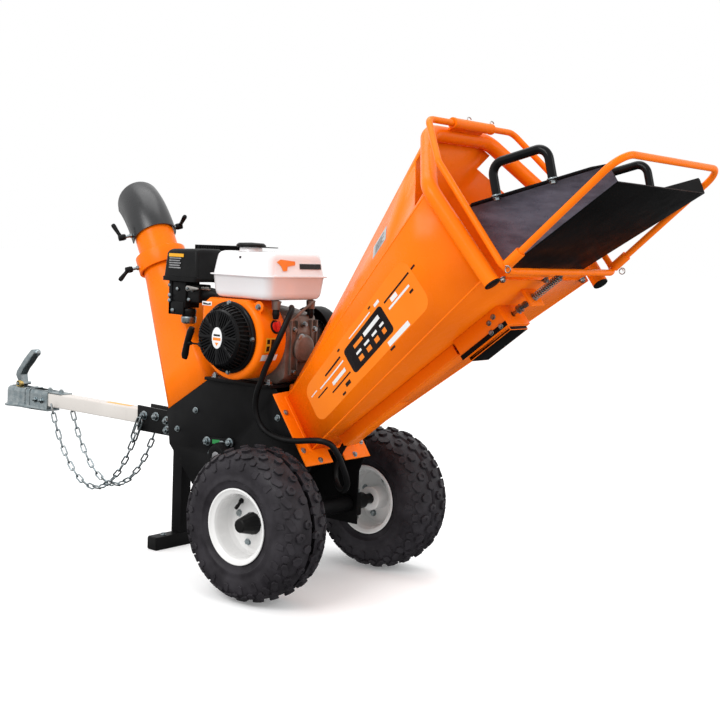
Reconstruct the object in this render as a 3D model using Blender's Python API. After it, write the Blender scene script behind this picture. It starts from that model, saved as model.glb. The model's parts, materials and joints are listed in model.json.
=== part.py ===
"""Towed wood chipper with a petrol engine, a drum rotor, a swivelling chute and a feed hopper.

Metres, +Z up.  +X points to the feed hopper, -X to the tow coupling, and Y is the wheel axle.
The drawing below is made around the axle (x = 0, y = 0, z = WHEEL_RADIUS), and the root empty
then moves the whole machine so that the origin is on the ground under the middle of its box.
"""

from math import acos, atan2, cos, pi, radians, sin

import bmesh
import bpy
from mathutils import Matrix, Vector

# ---------------------------------------------------------------- driving dimensions
GAP = 0.0003                     # clearance between faces that touch

WHEEL_RADIUS = 0.1775            # 145/70-6 tyre
HALF_TRACK = 0.229               # axle centre to wheel centre
PLATE_Y = 0.100                  # outer face of the side plates
PLATE_T = 0.005

ROTOR = Vector((-0.235, 0.0, 0.285))
DRUM_R = 0.088
CHAMBER_R = 0.104
SHELL_T = 0.005

CRANK = Vector((-0.163, 0.0, 0.584))
ENGINE_BASE_Z = 0.475

FLANGE_BASE = Vector((0.048, 0.0, 0.299))    # lower edge of the hopper flange
FLANGE_UP = Vector((-0.583, 0.0, 0.812)).normalized()
FLANGE_OUT = Vector((0.812, 0.0, 0.583)).normalized()
FLANGE_T = 0.004
FEED_UP = 0.041                  # infeed floor above the flange's lower edge

MOUTH_BASE = Vector((0.593, 0.0, 0.755))     # lower end of the mouth frame
MOUTH_TILT = radians(51.0)
MOUTH_UP = Vector((-cos(MOUTH_TILT), 0.0, sin(MOUTH_TILT)))
MOUTH_OUT = Vector((sin(MOUTH_TILT), 0.0, cos(MOUTH_TILT)))
FRAME_TUBE_R = 0.017
BAR_R = 0.007
BAR_OFFSET = 0.041               # safety bar plane in front of the mouth frame plane
SLEEVE = MOUTH_BASE + MOUTH_UP * 0.380 + MOUTH_OUT * BAR_OFFSET

CHUTE_TILT = radians(27.0)
CHUTE_AXIS = Vector((-sin(CHUTE_TILT), 0.0, cos(CHUTE_TILT)))
COLLAR = Vector((-0.579, 0.0, 0.730))        # lower rim of the chute collar, on the chute axis
CHUTE_R = 0.052
CHUTE_TURN = radians(-30.0)                  # the chute stands turned this far on its collar
HOOD_PIVOT = COLLAR + CHUTE_AXIS * 0.108

TRAY_HINGE = Vector((0.583, 0.0, 0.772))
THROAT_LOW = FLANGE_BASE + FLANGE_UP * 0.0385 + FLANGE_OUT * (FLANGE_T + GAP)
MOUTH_LOW = MOUTH_BASE + MOUTH_UP * 0.014 - MOUTH_OUT * (FRAME_TUBE_R + 0.001)
FLOOR_ALONG = (MOUTH_LOW - THROAT_LOW).normalized()
HOPPER_FLOOR_LOW = THROAT_LOW + FLOOR_ALONG * 0.040
FLOOR_DOWN = Vector((FLOOR_ALONG.z, 0.0, -FLOOR_ALONG.x))

TOW_BAR_Z = 0.327
TOW_BAR_HALF = 0.020
STAND_X = -0.492
STAND_HALF = 0.017
COUPLER_LEVER_PIVOT = Vector((-1.190, 0.0, 0.360))

HOSE_R = 0.0070
CHAIN_R = 0.004

# ---------------------------------------------------------------- start from an empty file
for old in list(bpy.data.objects):
    bpy.data.objects.remove(old, do_unlink=True)

root = bpy.data.objects.new("root_frame", None)
bpy.context.scene.collection.objects.link(root)


# ---------------------------------------------------------------- materials
def material(name, colour, roughness, metallic=0.0):
    made = bpy.data.materials.new(name)
    made.use_nodes = True
    shader = made.node_tree.nodes["Principled BSDF"]
    shader.inputs["Base Color"].default_value = (*colour, 1.0)
    shader.inputs["Roughness"].default_value = roughness
    shader.inputs["Metallic"].default_value = metallic
    return made


ORANGE = material("orange_powder_coat", (0.90, 0.20, 0.01), 0.28)
BLACK = material("black_powder_coat", (0.015, 0.015, 0.017), 0.40)
CREAM = material("cream_paint", (0.80, 0.76, 0.70), 0.35)
ZINC = material("zinc_plate", (0.55, 0.58, 0.60), 0.35, 1.0)
STEEL = material("bare_steel", (0.45, 0.45, 0.46), 0.35, 1.0)
ALUMINIUM = material("cast_aluminium", (0.42, 0.40, 0.38), 0.50, 1.0)
WHITE = material("white_paint", (0.85, 0.84, 0.81), 0.25)
RUBBER = material("tyre_rubber", (0.02, 0.02, 0.022), 0.70)
PLASTIC = material("black_plastic", (0.02, 0.02, 0.02), 0.45)
RED = material("red_plastic", (0.65, 0.02, 0.01), 0.35)


# ---------------------------------------------------------------- building helpers
def place(data, name, mat, origin=(0, 0, 0)):
    """Link mesh or curve data drawn in the machine frame, with its origin at the given point."""
    data.transform(Matrix.Translation(-Vector(origin)))
    piece = bpy.data.objects.new(name, data)
    piece.location = origin
    piece.parent = root
    data.materials.append(mat)
    bpy.context.scene.collection.objects.link(piece)
    return piece


def mesh_from(name, vertices, faces, smooth=False):
    mesh = bpy.data.meshes.new(name)
    work = bmesh.new()
    made = [work.verts.new(v) for v in vertices]
    for face in faces:
        work.faces.new([made[i] for i in face])
    bmesh.ops.remove_doubles(work, verts=work.verts, dist=1e-7)
    bmesh.ops.recalc_face_normals(work, faces=work.faces)
    work.to_mesh(mesh)
    work.free()
    if smooth:
        mesh.shade_smooth()
        mesh.set_sharp_from_angle(angle=radians(35.0))
    return mesh


def loft_mesh(name, rings, closed=False, smooth=False):
    """Bridge rings of equal length; the ends are capped unless the loft closes on itself."""
    count = len(rings[0])
    vertices = [point for ring in rings for point in ring]
    faces = []
    last = len(rings) if closed else len(rings) - 1
    for r in range(last):
        low = r * count
        high = ((r + 1) % len(rings)) * count
        for i in range(count):
            j = (i + 1) % count
            faces.append((low + i, low + j, high + j, high + i))
    if not closed:
        faces.append(tuple(range(count)))
        faces.append(tuple(range(len(vertices) - count, len(vertices))))
    return mesh_from(name, vertices, faces, smooth)


def shell_mesh(name, outer, inner):
    """Sheet between two matching sets of rings, open at both ends, its two halves mirrored."""
    count, rows = len(outer[0]), len(outer)
    vertices = [point for ring in outer + inner for point in ring]
    faces = []
    for skin in (0, rows * count):
        for r in range(rows - 1):
            for i in range(count):
                j = (i + 1) % count
                a, b = skin + r * count + i, skin + r * count + j
                c, d = b + count, a + count
                near = i < count // 2
                faces += [(a, b, c), (a, c, d)] if near else [(a, b, d), (b, c, d)]
    for low in (0, (rows - 1) * count):
        for i in range(count):
            j = (i + 1) % count
            faces.append((low + i, low + j, low + j + rows * count, low + i + rows * count))
    return mesh_from(name, vertices, faces)


def prism(name, outline, y0, y1, mat, origin=(0, 0, 0)):
    """Extrude an (x, z) outline along Y."""
    rings = [[(x, y, z) for x, z in outline] for y in (y0, y1)]
    return place(loft_mesh(name, rings), name, mat, origin)


def slab(name, outline, z0, z1, mat, origin=(0, 0, 0)):
    """Extrude an (x, y) outline along Z."""
    rings = [[(x, y, z) for x, y in outline] for z in (z0, z1)]
    return place(loft_mesh(name, rings), name, mat, origin)


def block(name, low, high, mat, origin=(0, 0, 0)):
    outline = [(low[0], low[1]), (high[0], low[1]), (high[0], high[1]), (low[0], high[1])]
    return slab(name, outline, low[2], high[2], mat, origin)


def basis(axis):
    """Two unit vectors square to an axis."""
    axis = Vector(axis).normalized()
    helper = Vector((0, 0, 1)) if abs(axis.z) < 0.9 else Vector((1, 0, 0))
    side = axis.cross(helper).normalized()
    return side, axis.cross(side).normalized()


def turned_mesh(name, profile, centre, axis, segments=32, closed=True):
    """Turn (radius, height) points about an axis; a closed profile never touches the axis."""
    centre, axis = Vector(centre), Vector(axis).normalized()
    side, up = basis(axis)
    rings = []
    for k in range(segments):
        angle = 2 * pi * k / segments
        ray = side * cos(angle) + up * sin(angle)
        rings.append([centre + ray * r + axis * h for r, h in profile])
    count = len(profile)
    faces = []
    for k in range(segments):
        here, there = k * count, ((k + 1) % segments) * count
        for i in range(count if closed else count - 1):
            j = (i + 1) % count
            corners = [here + i, here + j, there + j, there + i]
            if profile[i][0] == 0.0:
                corners.remove(there + i)
            if profile[j][0] == 0.0:
                corners.remove(there + j)
            if len(corners) > 2:
                faces.append(tuple(corners))
    mesh_vertices = [point for ring in rings for point in ring]
    return mesh_from(name, mesh_vertices, faces, smooth=True)


def turned(name, profile, centre, axis, mat, segments=32, origin=None, solid=False):
    """A ring (closed profile) or, with solid, a body whose profile starts and ends on the axis."""
    mesh = turned_mesh(name, profile, centre, axis, segments, closed=not solid)
    loose = bmesh.new()
    loose.from_mesh(mesh)
    bmesh.ops.delete(loose, geom=[v for v in loose.verts if not v.link_faces], context="VERTS")
    bmesh.ops.remove_doubles(loose, verts=loose.verts, dist=1e-7)
    loose.to_mesh(mesh)
    loose.free()
    return place(mesh, name, mat, origin if origin is not None else centre)


def disc(name, radius, start, end, mat, segments=32, origin=None):
    """A plain round bar between two points."""
    start, end = Vector(start), Vector(end)
    length = (end - start).length
    profile = [(0.0, 0.0), (radius, 0.0), (radius, length), (0.0, length)]
    return turned(name, profile, start, end - start, mat, segments, origin, solid=True)


def rounded(points, radius, steps=6):
    """Replace each inner corner of a path by an arc."""
    points = [Vector(p) for p in points]
    route = [points[0]]
    for before, corner, after in zip(points, points[1:], points[2:]):
        back = (before - corner).normalized()
        ahead = (after - corner).normalized()
        half = back.angle(ahead) / 2
        reach = min(radius / max(sin(half) / cos(half), 1e-6),
                    (before - corner).length * 0.49, (after - corner).length * 0.49)
        bend = reach * sin(half) / cos(half)
        centre = corner + (back + ahead).normalized() * (bend / sin(half))
        first, last = corner + back * reach - centre, corner + ahead * reach - centre
        sweep = first.angle(last)
        for k in range(steps + 1):
            share = k / steps
            route.append(centre + (first * sin((1 - share) * sweep)
                                   + last * sin(share * sweep)) / sin(sweep))
    route.append(points[-1])
    return route


def tube(name, route, radius, mat, origin=(0, 0, 0), resolution=3):
    """A round bar along a path, as a curve with filled caps."""
    curve = bpy.data.curves.new(name, "CURVE")
    curve.dimensions = "3D"
    curve.bevel_depth = radius
    curve.bevel_resolution = resolution
    curve.use_fill_caps = True
    spline = curve.splines.new("POLY")
    spline.points.add(len(route) - 1)
    for slot, point in zip(spline.points, route):
        slot.co = (*point, 1.0)
    return place(curve, name, mat, origin)


def pipe(name, route, outer, inner, mat, sides=14):
    """A hollow round tube along a path in one plane, open at both ends."""
    turn = (route[1] - route[0]).cross(route[len(route) // 2] - route[0]).normalized()
    rings = []
    for radius in (outer, inner):
        for k, point in enumerate(route):
            ahead = route[min(k + 1, len(route) - 1)] - route[max(k - 1, 0)]
            out = ahead.cross(turn).normalized()
            rings.append([point + out * (radius * cos(2 * pi * i / sides))
                          + turn * (radius * sin(2 * pi * i / sides)) for i in range(sides)])
    ordered = rings[:len(route)] + rings[len(route):][::-1]
    return place(loft_mesh(name, ordered, closed=True, smooth=True), name, mat)


def smooth_route(points, count):
    """Points spaced evenly along a Catmull-Rom curve through the given points."""
    points = [Vector(p) for p in points]
    ends = [points[0] * 2 - points[1]] + points + [points[-1] * 2 - points[-2]]
    fine = []
    for a, b, c, d in zip(ends, ends[1:], ends[2:], ends[3:]):
        for k in range(20):
            t = k / 20
            fine.append(0.5 * (2 * b + (c - a) * t + (2 * a - 5 * b + 4 * c - d) * t ** 2
                               + (3 * b - a - 3 * c + d) * t ** 3))
    fine.append(points[-1])
    steps = [0.0]
    for a, b in zip(fine, fine[1:]):
        steps.append(steps[-1] + (b - a).length)
    route, at = [], 0
    for k in range(count):
        target = steps[-1] * k / (count - 1)
        while at < len(fine) - 2 and steps[at + 1] < target:
            at += 1
        share = (target - steps[at]) / (steps[at + 1] - steps[at])
        route.append(fine[at].lerp(fine[at + 1], min(share, 1.0)))
    return route


def as_cutter(piece):
    piece.hide_render = True
    piece.display_type = "WIRE"
    return piece


def combine(piece, other, operation):
    """Keep a Boolean on a piece; the other object becomes a hidden cutter."""
    step = piece.modifiers.new(operation.lower(), "BOOLEAN")
    step.operation = operation
    step.object = as_cutter(other)
    return piece


def cut(piece, other):
    return combine(piece, other, "DIFFERENCE")


def join(piece, other):
    return combine(piece, other, "UNION")


def bevelled(piece, width, segments=2):
    step = piece.modifiers.new("rounding", "BEVEL")
    step.width = width
    step.segments = segments
    step.limit_method = "ANGLE"
    step.angle_limit = radians(40.0)
    return piece


def on_flange(y, up, out=0.0):
    return FLANGE_BASE + FLANGE_UP * up + FLANGE_OUT * out + Vector((0, y, 0))


def on_mouth(y, up, out=0.0):
    return MOUTH_BASE + MOUTH_UP * up + MOUTH_OUT * out + Vector((0, y, 0))


def under_floor(along, y, down):
    return HOPPER_FLOOR_LOW + FLOOR_ALONG * along + FLOOR_DOWN * down + Vector((0, y, 0))


def box_from(name, corner_of, spans, mat, origin=(0, 0, 0)):
    """A box in a slanted frame: corner_of maps three local numbers to a point."""
    (a0, a1), (b0, b1), (c0, c1) = spans
    rings = [[corner_of(a, b, c) for a, b in ((a0, b0), (a1, b0), (a1, b1), (a0, b1))]
             for c in (c0, c1)]
    return place(loft_mesh(name, rings), name, mat, origin)


# ---------------------------------------------------------------- chassis
def side_plate_outline():
    """Plate outline in (x, z), clockwise from the front corner above the stand."""
    back = FLANGE_OUT * -GAP
    low = FLANGE_BASE + back
    high = FLANGE_BASE + FLANGE_UP * 0.192 + back
    return [(-0.446, 0.374), (-0.303, 0.4637), (-0.300, 0.466), (-0.072, 0.466), (high.x, high.z),
            (low.x, low.z), (0.032, 0.262), (0.032, 0.130), (-0.280, 0.130), (-0.434, 0.288)]


def side_plates():
    for side, name in ((-1, "side_plate_near"), (1, "side_plate_far")):
        outer = side * PLATE_Y
        inner = side * (PLATE_Y - PLATE_T)
        plate = prism(name, side_plate_outline(), min(inner, outer), max(inner, outer), BLACK)
        for hole, radius, centre in (("axle_hole", 0.0206, (0, 0, WHEEL_RADIUS)),
                                     ("shaft_hole", 0.0135, ROTOR)):
            start = Vector(centre) + Vector((0, side * 0.08, 0))
            cut(plate, disc(f"{hole}_{name}", radius, start, start + Vector((0, side * 0.04, 0)),
                            BLACK))


def tangent_angle(point, radius, side):
    """Angle around the rotor at which a line from the point touches the chamber circle."""
    offset = Vector(point) - ROTOR
    return atan2(offset.z, offset.x) + side * acos(radius / offset.length)


def housing_shell():
    """Bottom of the rotor chamber: infeed floor, a round trough, and the rise to the chute."""
    feed = FLANGE_BASE + FLANGE_UP * FEED_UP - FLANGE_OUT * GAP
    rise = Vector((-0.430, 0.0, 0.3836))
    first = tangent_angle(feed, CHAMBER_R, -1)
    last = tangent_angle(rise, CHAMBER_R, 1) - 2 * pi
    steps = 18
    inner, outer = [feed], [feed + Vector((0.0033, 0, -SHELL_T))]
    for k in range(steps + 1):
        angle = first + (last - first) * k / steps
        ray = Vector((cos(angle), 0, sin(angle)))
        inner.append(ROTOR + ray * CHAMBER_R)
        outer.append(ROTOR + ray * (CHAMBER_R + SHELL_T))
    inner.append(rise)
    outer.append(rise + Vector((-SHELL_T, 0, -0.0032)))
    outline = [(p.x, p.z) for p in inner + outer[::-1]]
    width = PLATE_Y - PLATE_T - GAP
    prism("housing_shell", outline, -width, width, BLACK)


def engine_plate():
    block("engine_plate", (-0.300, -0.112, 0.4665), (-0.078, 0.112, 0.4745), BLACK)


def anvil_knife():
    """Fixed counter knife on the infeed floor, just ahead of the drum."""
    feed = FLANGE_BASE + FLANGE_UP * FEED_UP
    angle = tangent_angle(feed, CHAMBER_R, -1)
    touch = ROTOR + Vector((cos(angle), 0, sin(angle))) * CHAMBER_R
    along = (feed - touch).normalized()
    up = Vector((-along.z, 0, along.x))

    def corner(a, b, c):
        return touch + along * a + up * b + Vector((0, c, 0))

    box_from("anvil_knife", corner, ((0.028, 0.078), (0.0008, 0.0105), (-0.090, 0.090)), STEEL)


def rotor():
    """Drum with two flat seats for its knives, on a shaft that carries the belt pulley."""
    seat = 0.078
    half = acos(seat / DRUM_R)
    outline = []
    for turn in (0.0, pi):
        for k in range(15):
            angle = turn + half + (pi - 2 * half) * k / 14
            outline.append((ROTOR.x + DRUM_R * cos(angle), ROTOR.z + DRUM_R * sin(angle)))
    drum = prism("rotor_drum", outline, -0.086, 0.086, STEEL, ROTOR)
    shaft = disc("rotor_shaft", 0.0125, ROTOR + Vector((0, -0.130, 0)),
                 ROTOR + Vector((0, 0.150, 0)), STEEL, 24, ROTOR)
    join(drum, shaft)
    for side, name in ((1, "drum_knife_a"), (-1, "drum_knife_b")):
        x = sorted((ROTOR.x + side * (seat + GAP), ROTOR.x + side * (seat + 0.008)))
        block(name, (x[0], -0.084, ROTOR.z - 0.024), (x[1], 0.084, ROTOR.z + 0.024), ZINC, ROTOR)


def grooved_wheel(name, centre, bore, groove, rim, mat, hub_reach=0.0):
    """Flat-bottomed belt pulley between y = 0.118 and y = 0.145."""
    profile = [(bore, 0.118 - hub_reach), (bore, 0.145), (rim, 0.145), (rim, 0.141),
               (groove, 0.141), (groove, 0.122), (rim, 0.122), (rim, 0.118 - hub_reach)]
    turned(name, profile, Vector((centre.x, 0, centre.z)), (0, 1, 0), mat, 40, centre)


def belt_loop(radii, offset):
    """Outline of an open belt round both pulleys, in (x, z)."""
    (low_r, high_r) = radii
    span = CRANK - ROTOR
    lean = atan2(span.z, span.x)
    open_angle = acos((low_r - high_r) / span.length)
    outline = []
    for centre, radius, start, end in ((ROTOR, low_r, open_angle, 2 * pi - open_angle),
                                       (CRANK, high_r, -open_angle, open_angle)):
        for k in range(17):
            angle = lean + start + (end - start) * k / 16
            outline.append((centre.x + (radius + offset) * cos(angle),
                            centre.z + (radius + offset) * sin(angle)))
    return outline


def drive():
    grooved_wheel("rotor_pulley", ROTOR, 0.0129, 0.047, 0.056, STEEL)
    wheel = [(0.0, 0.0305), (0.0095, 0.0305), (0.0095, 0.118), (0.036, 0.118), (0.036, 0.122),
             (0.027, 0.122), (0.027, 0.141), (0.036, 0.141), (0.036, 0.145), (0.0, 0.145)]
    turned("clutch_pulley", wheel, Vector((CRANK.x, 0, CRANK.z)), (0, 1, 0), STEEL, 40, CRANK,
           solid=True)
    radii = (0.0475, 0.0275)
    rings = []
    for offset, y in ((0.0, 0.1235), (0.008, 0.1235), (0.008, 0.1395), (0.0, 0.1395)):
        rings.append([(x, y, z) for x, z in belt_loop(radii, offset)])
    belt_mesh = loft_mesh("drive_belt", rings, closed=True)
    place(belt_mesh, "drive_belt", RUBBER)
    cover_radii = (0.062, 0.066)
    rings = []
    for offset, y in ((0.0, 0.1150), (0.003, 0.1150), (0.003, 0.1580)):
        rings.append([(x, y, z) for x, z in belt_loop(cover_radii, offset)])
    rings.append([(x, 0.1550, z) for x, z in belt_loop(cover_radii, 0.0)])
    count = len(rings[0])
    vertices = [p for ring in rings for p in ring]
    faces = []
    for low, high in ((0, 1), (1, 2), (3, 0)):
        for i in range(count):
            j = (i + 1) % count
            faces.append((low * count + i, low * count + j, high * count + j, high * count + i))
    faces.append(tuple(range(2 * count, 3 * count)))
    faces.append(tuple(range(3 * count, 4 * count)))
    place(mesh_from("belt_guard", vertices, faces), "belt_guard", BLACK)


def bearings():
    for side, name in ((-1, "rotor_bearing_near"), (1, "rotor_bearing_far")):
        reach = 0.030 if side < 0 else 0.014
        start = PLATE_Y + GAP
        profile = [(0.0130, start), (0.034, start), (0.034, start + reach * 0.6),
                   (0.026, start + reach), (0.0130, start + reach)]
        turned(name, profile, Vector((ROTOR.x, 0, ROTOR.z)), (0, side, 0), BLACK, 32)


def axle():
    stub, beam = 0.0125, 0.020
    profile = [(0.0, -0.2565), (stub, -0.2565), (stub, -0.155), (beam, -0.155),
               (beam, 0.155), (stub, 0.155), (stub, 0.2565), (0.0, 0.2565)]
    turned("axle", profile, (0, 0, WHEEL_RADIUS), (0, 1, 0), BLACK, 24, solid=True)


def stand():
    block("stand_post", (STAND_X - STAND_HALF, -STAND_HALF, 0.0343),
          (STAND_X + STAND_HALF, STAND_HALF, 0.2897), BLACK)
    block("stand_foot", (STAND_X - STAND_HALF, -0.098, 0.0), (STAND_X + STAND_HALF, 0.098, 0.034),
          BLACK)


# ---------------------------------------------------------------- wheels
def tyre_profile():
    """Carcass section (radius, outward), open towards the rim."""
    half = [(0.0775, 0.0540), (0.0872, 0.0585), (0.0892, 0.0655), (0.1100, 0.0705), (0.1350, 0.0725),
            (0.1560, 0.0690), (0.1690, 0.0580), (0.1755, 0.0400), (0.1775, 0.0180)]
    inner = [(0.1695, 0.0160), (0.1680, 0.0370), (0.1620, 0.0520), (0.1520, 0.0610),
             (0.1340, 0.0645), (0.1110, 0.0625), (0.0930, 0.0530), (0.0860, 0.0460),
             (0.0775, 0.0460)]
    outer = half + [(r, -h) for r, h in reversed(half)]
    lining = [(r, -h) for r, h in reversed(inner)] + inner
    return outer + lining


def rim_profile():
    """Deep rim with its disc, hub, blind bore and dust cap (radius, outward)."""
    return [(0.0, 0.0280), (0.0130, 0.0280), (0.0130, -0.0450), (0.0300, -0.0450),
            (0.0300, -0.0030), (0.0700, -0.0030), (0.0710, -0.0560), (0.0830, -0.0640),
            (0.0865, -0.0640), (0.0865, -0.0605), (0.0770, -0.0560), (0.0770, 0.0560),
            (0.0865, 0.0605), (0.0865, 0.0640), (0.0830, 0.0640), (0.0715, 0.0540),
            (0.0700, 0.0030), (0.0245, 0.0030), (0.0235, 0.0120), (0.0150, 0.0510),
            (0.0, 0.0520)]


def wheels():
    for side, name in ((-1, "near"), (1, "far")):
        centre = Vector((0, side * HALF_TRACK, WHEEL_RADIUS))
        turned(f"tyre_{name}", tyre_profile(), centre, (0, side, 0), RUBBER, 36)
        turned(f"rim_{name}", rim_profile(), centre, (0, side, 0), WHITE, 32, solid=True)


# ---------------------------------------------------------------- tow gear
def tow_bracket():
    """Channel that holds the tow bar, with a slanted end against the housing."""
    outline = [(-0.645, 0.290), (-0.3755, 0.290), (-0.4200, 0.354), (-0.645, 0.358)]
    bracket = prism("tow_bracket", outline, -0.0263, 0.0263, BLACK)
    half = TOW_BAR_HALF + GAP
    cut(bracket, block("bracket_slot", (-0.66, -half, TOW_BAR_Z - half), (-0.50, half, 0.37),
                       BLACK))


def tow_bar():
    """Square tube, open at both ends."""
    rings = []
    for half, x in ((TOW_BAR_HALF, -1.088), (TOW_BAR_HALF, -0.503),
                    (TOW_BAR_HALF - 0.003, -0.503), (TOW_BAR_HALF - 0.003, -1.088)):
        rings.append([(x, y, TOW_BAR_Z + z) for y, z in ((-half, -half), (half, -half),
                                                         (half, half), (-half, half))])
    place(loft_mesh("tow_bar", rings, closed=True), "tow_bar", CREAM)


def nose_outline(nose_x, radius, rear_x, rear_half):
    """Plan outline of the coupler: a round nose running back to a square rear."""
    outline = [(rear_x, -rear_half), (nose_x + 0.045, -rear_half)]
    for k in range(17):
        angle = -pi / 2 - pi * k / 16
        outline.append((nose_x + radius * cos(angle), radius * sin(angle)))
    return outline + [(nose_x + 0.045, rear_half), (rear_x, rear_half)]


def coupler():
    nose = -1.2130
    body = slab("coupler_body", nose_outline(nose, 0.034, -1.045, 0.0242), 0.2972, 0.3520, ZINC)
    bevelled(body, 0.006)
    join(body, slab("coupler_flange", nose_outline(nose, 0.0416, -1.120, 0.0300), 0.2930, 0.2975,
                    ZINC))
    half = TOW_BAR_HALF + GAP
    cut(body, block("bar_socket", (-1.0895, -half, TOW_BAR_Z - half),
                    (-1.03, half, TOW_BAR_Z + half), ZINC))
    ball = [(0.0, 0.330), (0.012, 0.328), (0.021, 0.320), (0.0258, 0.308), (0.0258, 0.285),
            (0.0, 0.285)]
    cut(body, turned("ball_socket", ball, (nose, 0, 0), (0, 0, 1), ZINC, 32, solid=True))
    pivot = COUPLER_LEVER_PIVOT
    outline = [(pivot.x + 0.0074 * cos(a), pivot.z + 0.0074 * sin(a))
               for a in (pi + pi * k / 8 for k in range(9))]
    outline += [(-1.188, 0.388), (-1.176, 0.405), (-1.154, 0.425), (-1.140, 0.440),
                (-1.124, 0.4560), (-1.128, 0.4650), (-1.140, 0.4660), (-1.172, 0.438),
                (-1.210, 0.396), (-1.214, 0.384)]
    prism("coupler_lever", outline, -0.012, 0.012, ZINC, pivot)


def hanging_chain(name, side):
    """Safety chain between the coupler and the tow bracket, hanging as a catenary."""
    start, end = Vector((-1.010, side * 0.0345, 0.318)), Vector((-0.622, side * 0.0345, 0.330))
    spread = 0.112
    middle = (start.x + end.x) / 2 - 0.002
    lowest = start.z - spread * (_cosh((start.x - middle) / spread) - 1)
    route = []
    for k in range(33):
        x = start.x + (end.x - start.x) * k / 32
        route.append(Vector((x, start.y, lowest + spread * (_cosh((x - middle) / spread) - 1))))
    tube(name, route, CHAIN_R, ZINC, resolution=2)


def _cosh(value):
    return (2.718281828459045 ** value + 2.718281828459045 ** -value) / 2


# ---------------------------------------------------------------- discharge chute
def chute_ring(radius, up, count=32):
    """Circle square to the chute axis, its first point towards -X."""
    forward = Vector((-cos(CHUTE_TILT), 0, -sin(CHUTE_TILT)))
    side = Vector((0, 1, 0))
    centre = COLLAR + CHUTE_AXIS * up
    return [centre + forward * (radius * cos(2 * pi * k / count))
            + side * (radius * sin(2 * pi * k / count)) for k in range(count)]


def base_ring(inset, count=32):
    """Rectangle on the slanted mouth of the rotor housing, matched to the circle's points."""
    low, high = Vector((-0.4405, 0, 0.3785)), Vector((-0.3035, 0, 0.4643))
    centre = (low + high) / 2
    along = (low - high).normalized()
    half_a, half_b = (low - high).length / 2 - inset, PLATE_Y - inset
    points = []
    for k in range(count):
        angle = 2 * pi * k / count
        c, s = cos(angle), sin(angle)
        scale = min(half_a / max(abs(c), 1e-9), half_b / max(abs(s), 1e-9))
        corner_angle = pi / 4
        fold = abs((angle % (pi / 2)) - corner_angle) < 1e-6
        a = half_a * (1 if c > 0 else -1) if fold else scale * c
        b = half_b * (1 if s > 0 else -1) if fold else scale * s
        points.append(centre + along * a + Vector((0, b, 0)))
    return points


def chute_lower():
    """Square-to-round duct from the housing to the neck inside the collar."""
    skins = []
    for wall in (0.0, 0.0025):
        low, high = base_ring(wall), chute_ring(0.057 - wall, -0.020)
        skins.append([[a.lerp(b, k / 4) for a, b in zip(low, high)] for k in range(5)])
        skins[-1].append(chute_ring(0.057 - wall, 0.034))
    place(shell_mesh("chute_lower", *skins), "chute_lower", ORANGE)


def chute_upper():
    """Round discharge tube with the collar that turns on the neck."""
    profile = [(0.0490, 0.0385), (0.0605, 0.0385), (0.0605, 0.0), (0.0670, 0.0), (0.0670, 0.0430),
               (CHUTE_R, 0.0430), (CHUTE_R, 0.1200), (0.0490, 0.1200)]
    turned("chute_upper", profile, COLLAR, CHUTE_AXIS, ORANGE, 40)


def hood_frame():
    """Across, back and up directions of the deflector hood at rest."""
    turn = Matrix.Rotation(CHUTE_TURN, 3, CHUTE_AXIS)
    across = turn @ Vector((0, 1, 0))
    pitch = Matrix.Rotation(radians(-6.0), 3, across)
    back = pitch @ (turn @ Vector((cos(CHUTE_TILT), 0, sin(CHUTE_TILT))))
    up = pitch @ CHUTE_AXIS
    return across, back, up


def hood_section(share, radius, columns):
    """One U-shaped station of the hood; share runs from its lower edge to its lip."""
    across, back, up = hood_frame()
    points = []
    for k in range(columns):
        angle = pi * (k / (columns - 1)) - pi / 2
        low = -0.016 + 0.030 * cos(angle)
        height = low + (0.125 - low) * share
        bend = radians(38.0) * max(height, 0.0) / 0.125
        reach = 0.125 / radians(38.0)
        centre = up * (reach * sin(bend) if height > 0 else height)
        centre -= back * (reach * (1 - cos(bend)))
        tilted_back = back * cos(bend) + up * sin(bend)
        point = HOOD_PIVOT + centre + across * (radius * sin(angle))
        points.append(point + tilted_back * (radius * cos(angle)))
    front = -tilted_back * 0.016
    return [points[0] + front] + points + [points[-1] + front]


def deflector_hood():
    columns, stations = 17, 8
    shares = [k / (stations - 1) for k in range(stations)]
    rings = []
    for share in shares:
        outer = hood_section(share, 0.0585, columns)
        inner = hood_section(share, 0.0555, columns)
        rings.append(outer + inner[::-1])
    place(loft_mesh("deflector_hood", rings, smooth=True), "deflector_hood", BLACK, HOOD_PIVOT)


def chute_levers():
    """Clamp levers: two on the hood's pivot studs and one on the collar."""
    across, back, up = hood_frame()
    for side, name in ((-1, "hood_lever_near"), (1, "hood_lever_far")):
        stud = across * side
        start = HOOD_PIVOT + stud * 0.0592
        corner = HOOD_PIVOT + stud * (0.088 if side < 0 else 0.074)
        grip = up * 0.042 + back * 0.004 if side < 0 else back * 0.042 + up * 0.006
        tip = corner + stud * 0.012 + grip
        tube(name, rounded([start, corner, tip], 0.008), 0.0055, PLASTIC, start)
    stud = across * -1
    start = COLLAR + CHUTE_AXIS * 0.016 + stud * 0.0676
    corner = start + stud * 0.028
    tip = corner + stud * 0.030 - CHUTE_AXIS * 0.024
    tube("swivel_lever", rounded([start, corner, tip], 0.008), 0.0055, PLASTIC, start)


# ---------------------------------------------------------------- hopper
def mouth_section(inset, out):
    """Six corners of the hopper at its mouth, floor first, going round from the near side."""
    half = [(0.211, 0.014), (0.236, 0.222), (0.108, 0.380)]
    near = [on_mouth(-(y - inset), up + (inset if k == 0 else -inset * (k - 1)), out)
            for k, (y, up) in enumerate(half)]
    far = [on_mouth(y - inset, up + (inset if k == 0 else -inset * (k - 1)), out)
           for k, (y, up) in enumerate(half)]
    return near + far[::-1]


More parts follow.
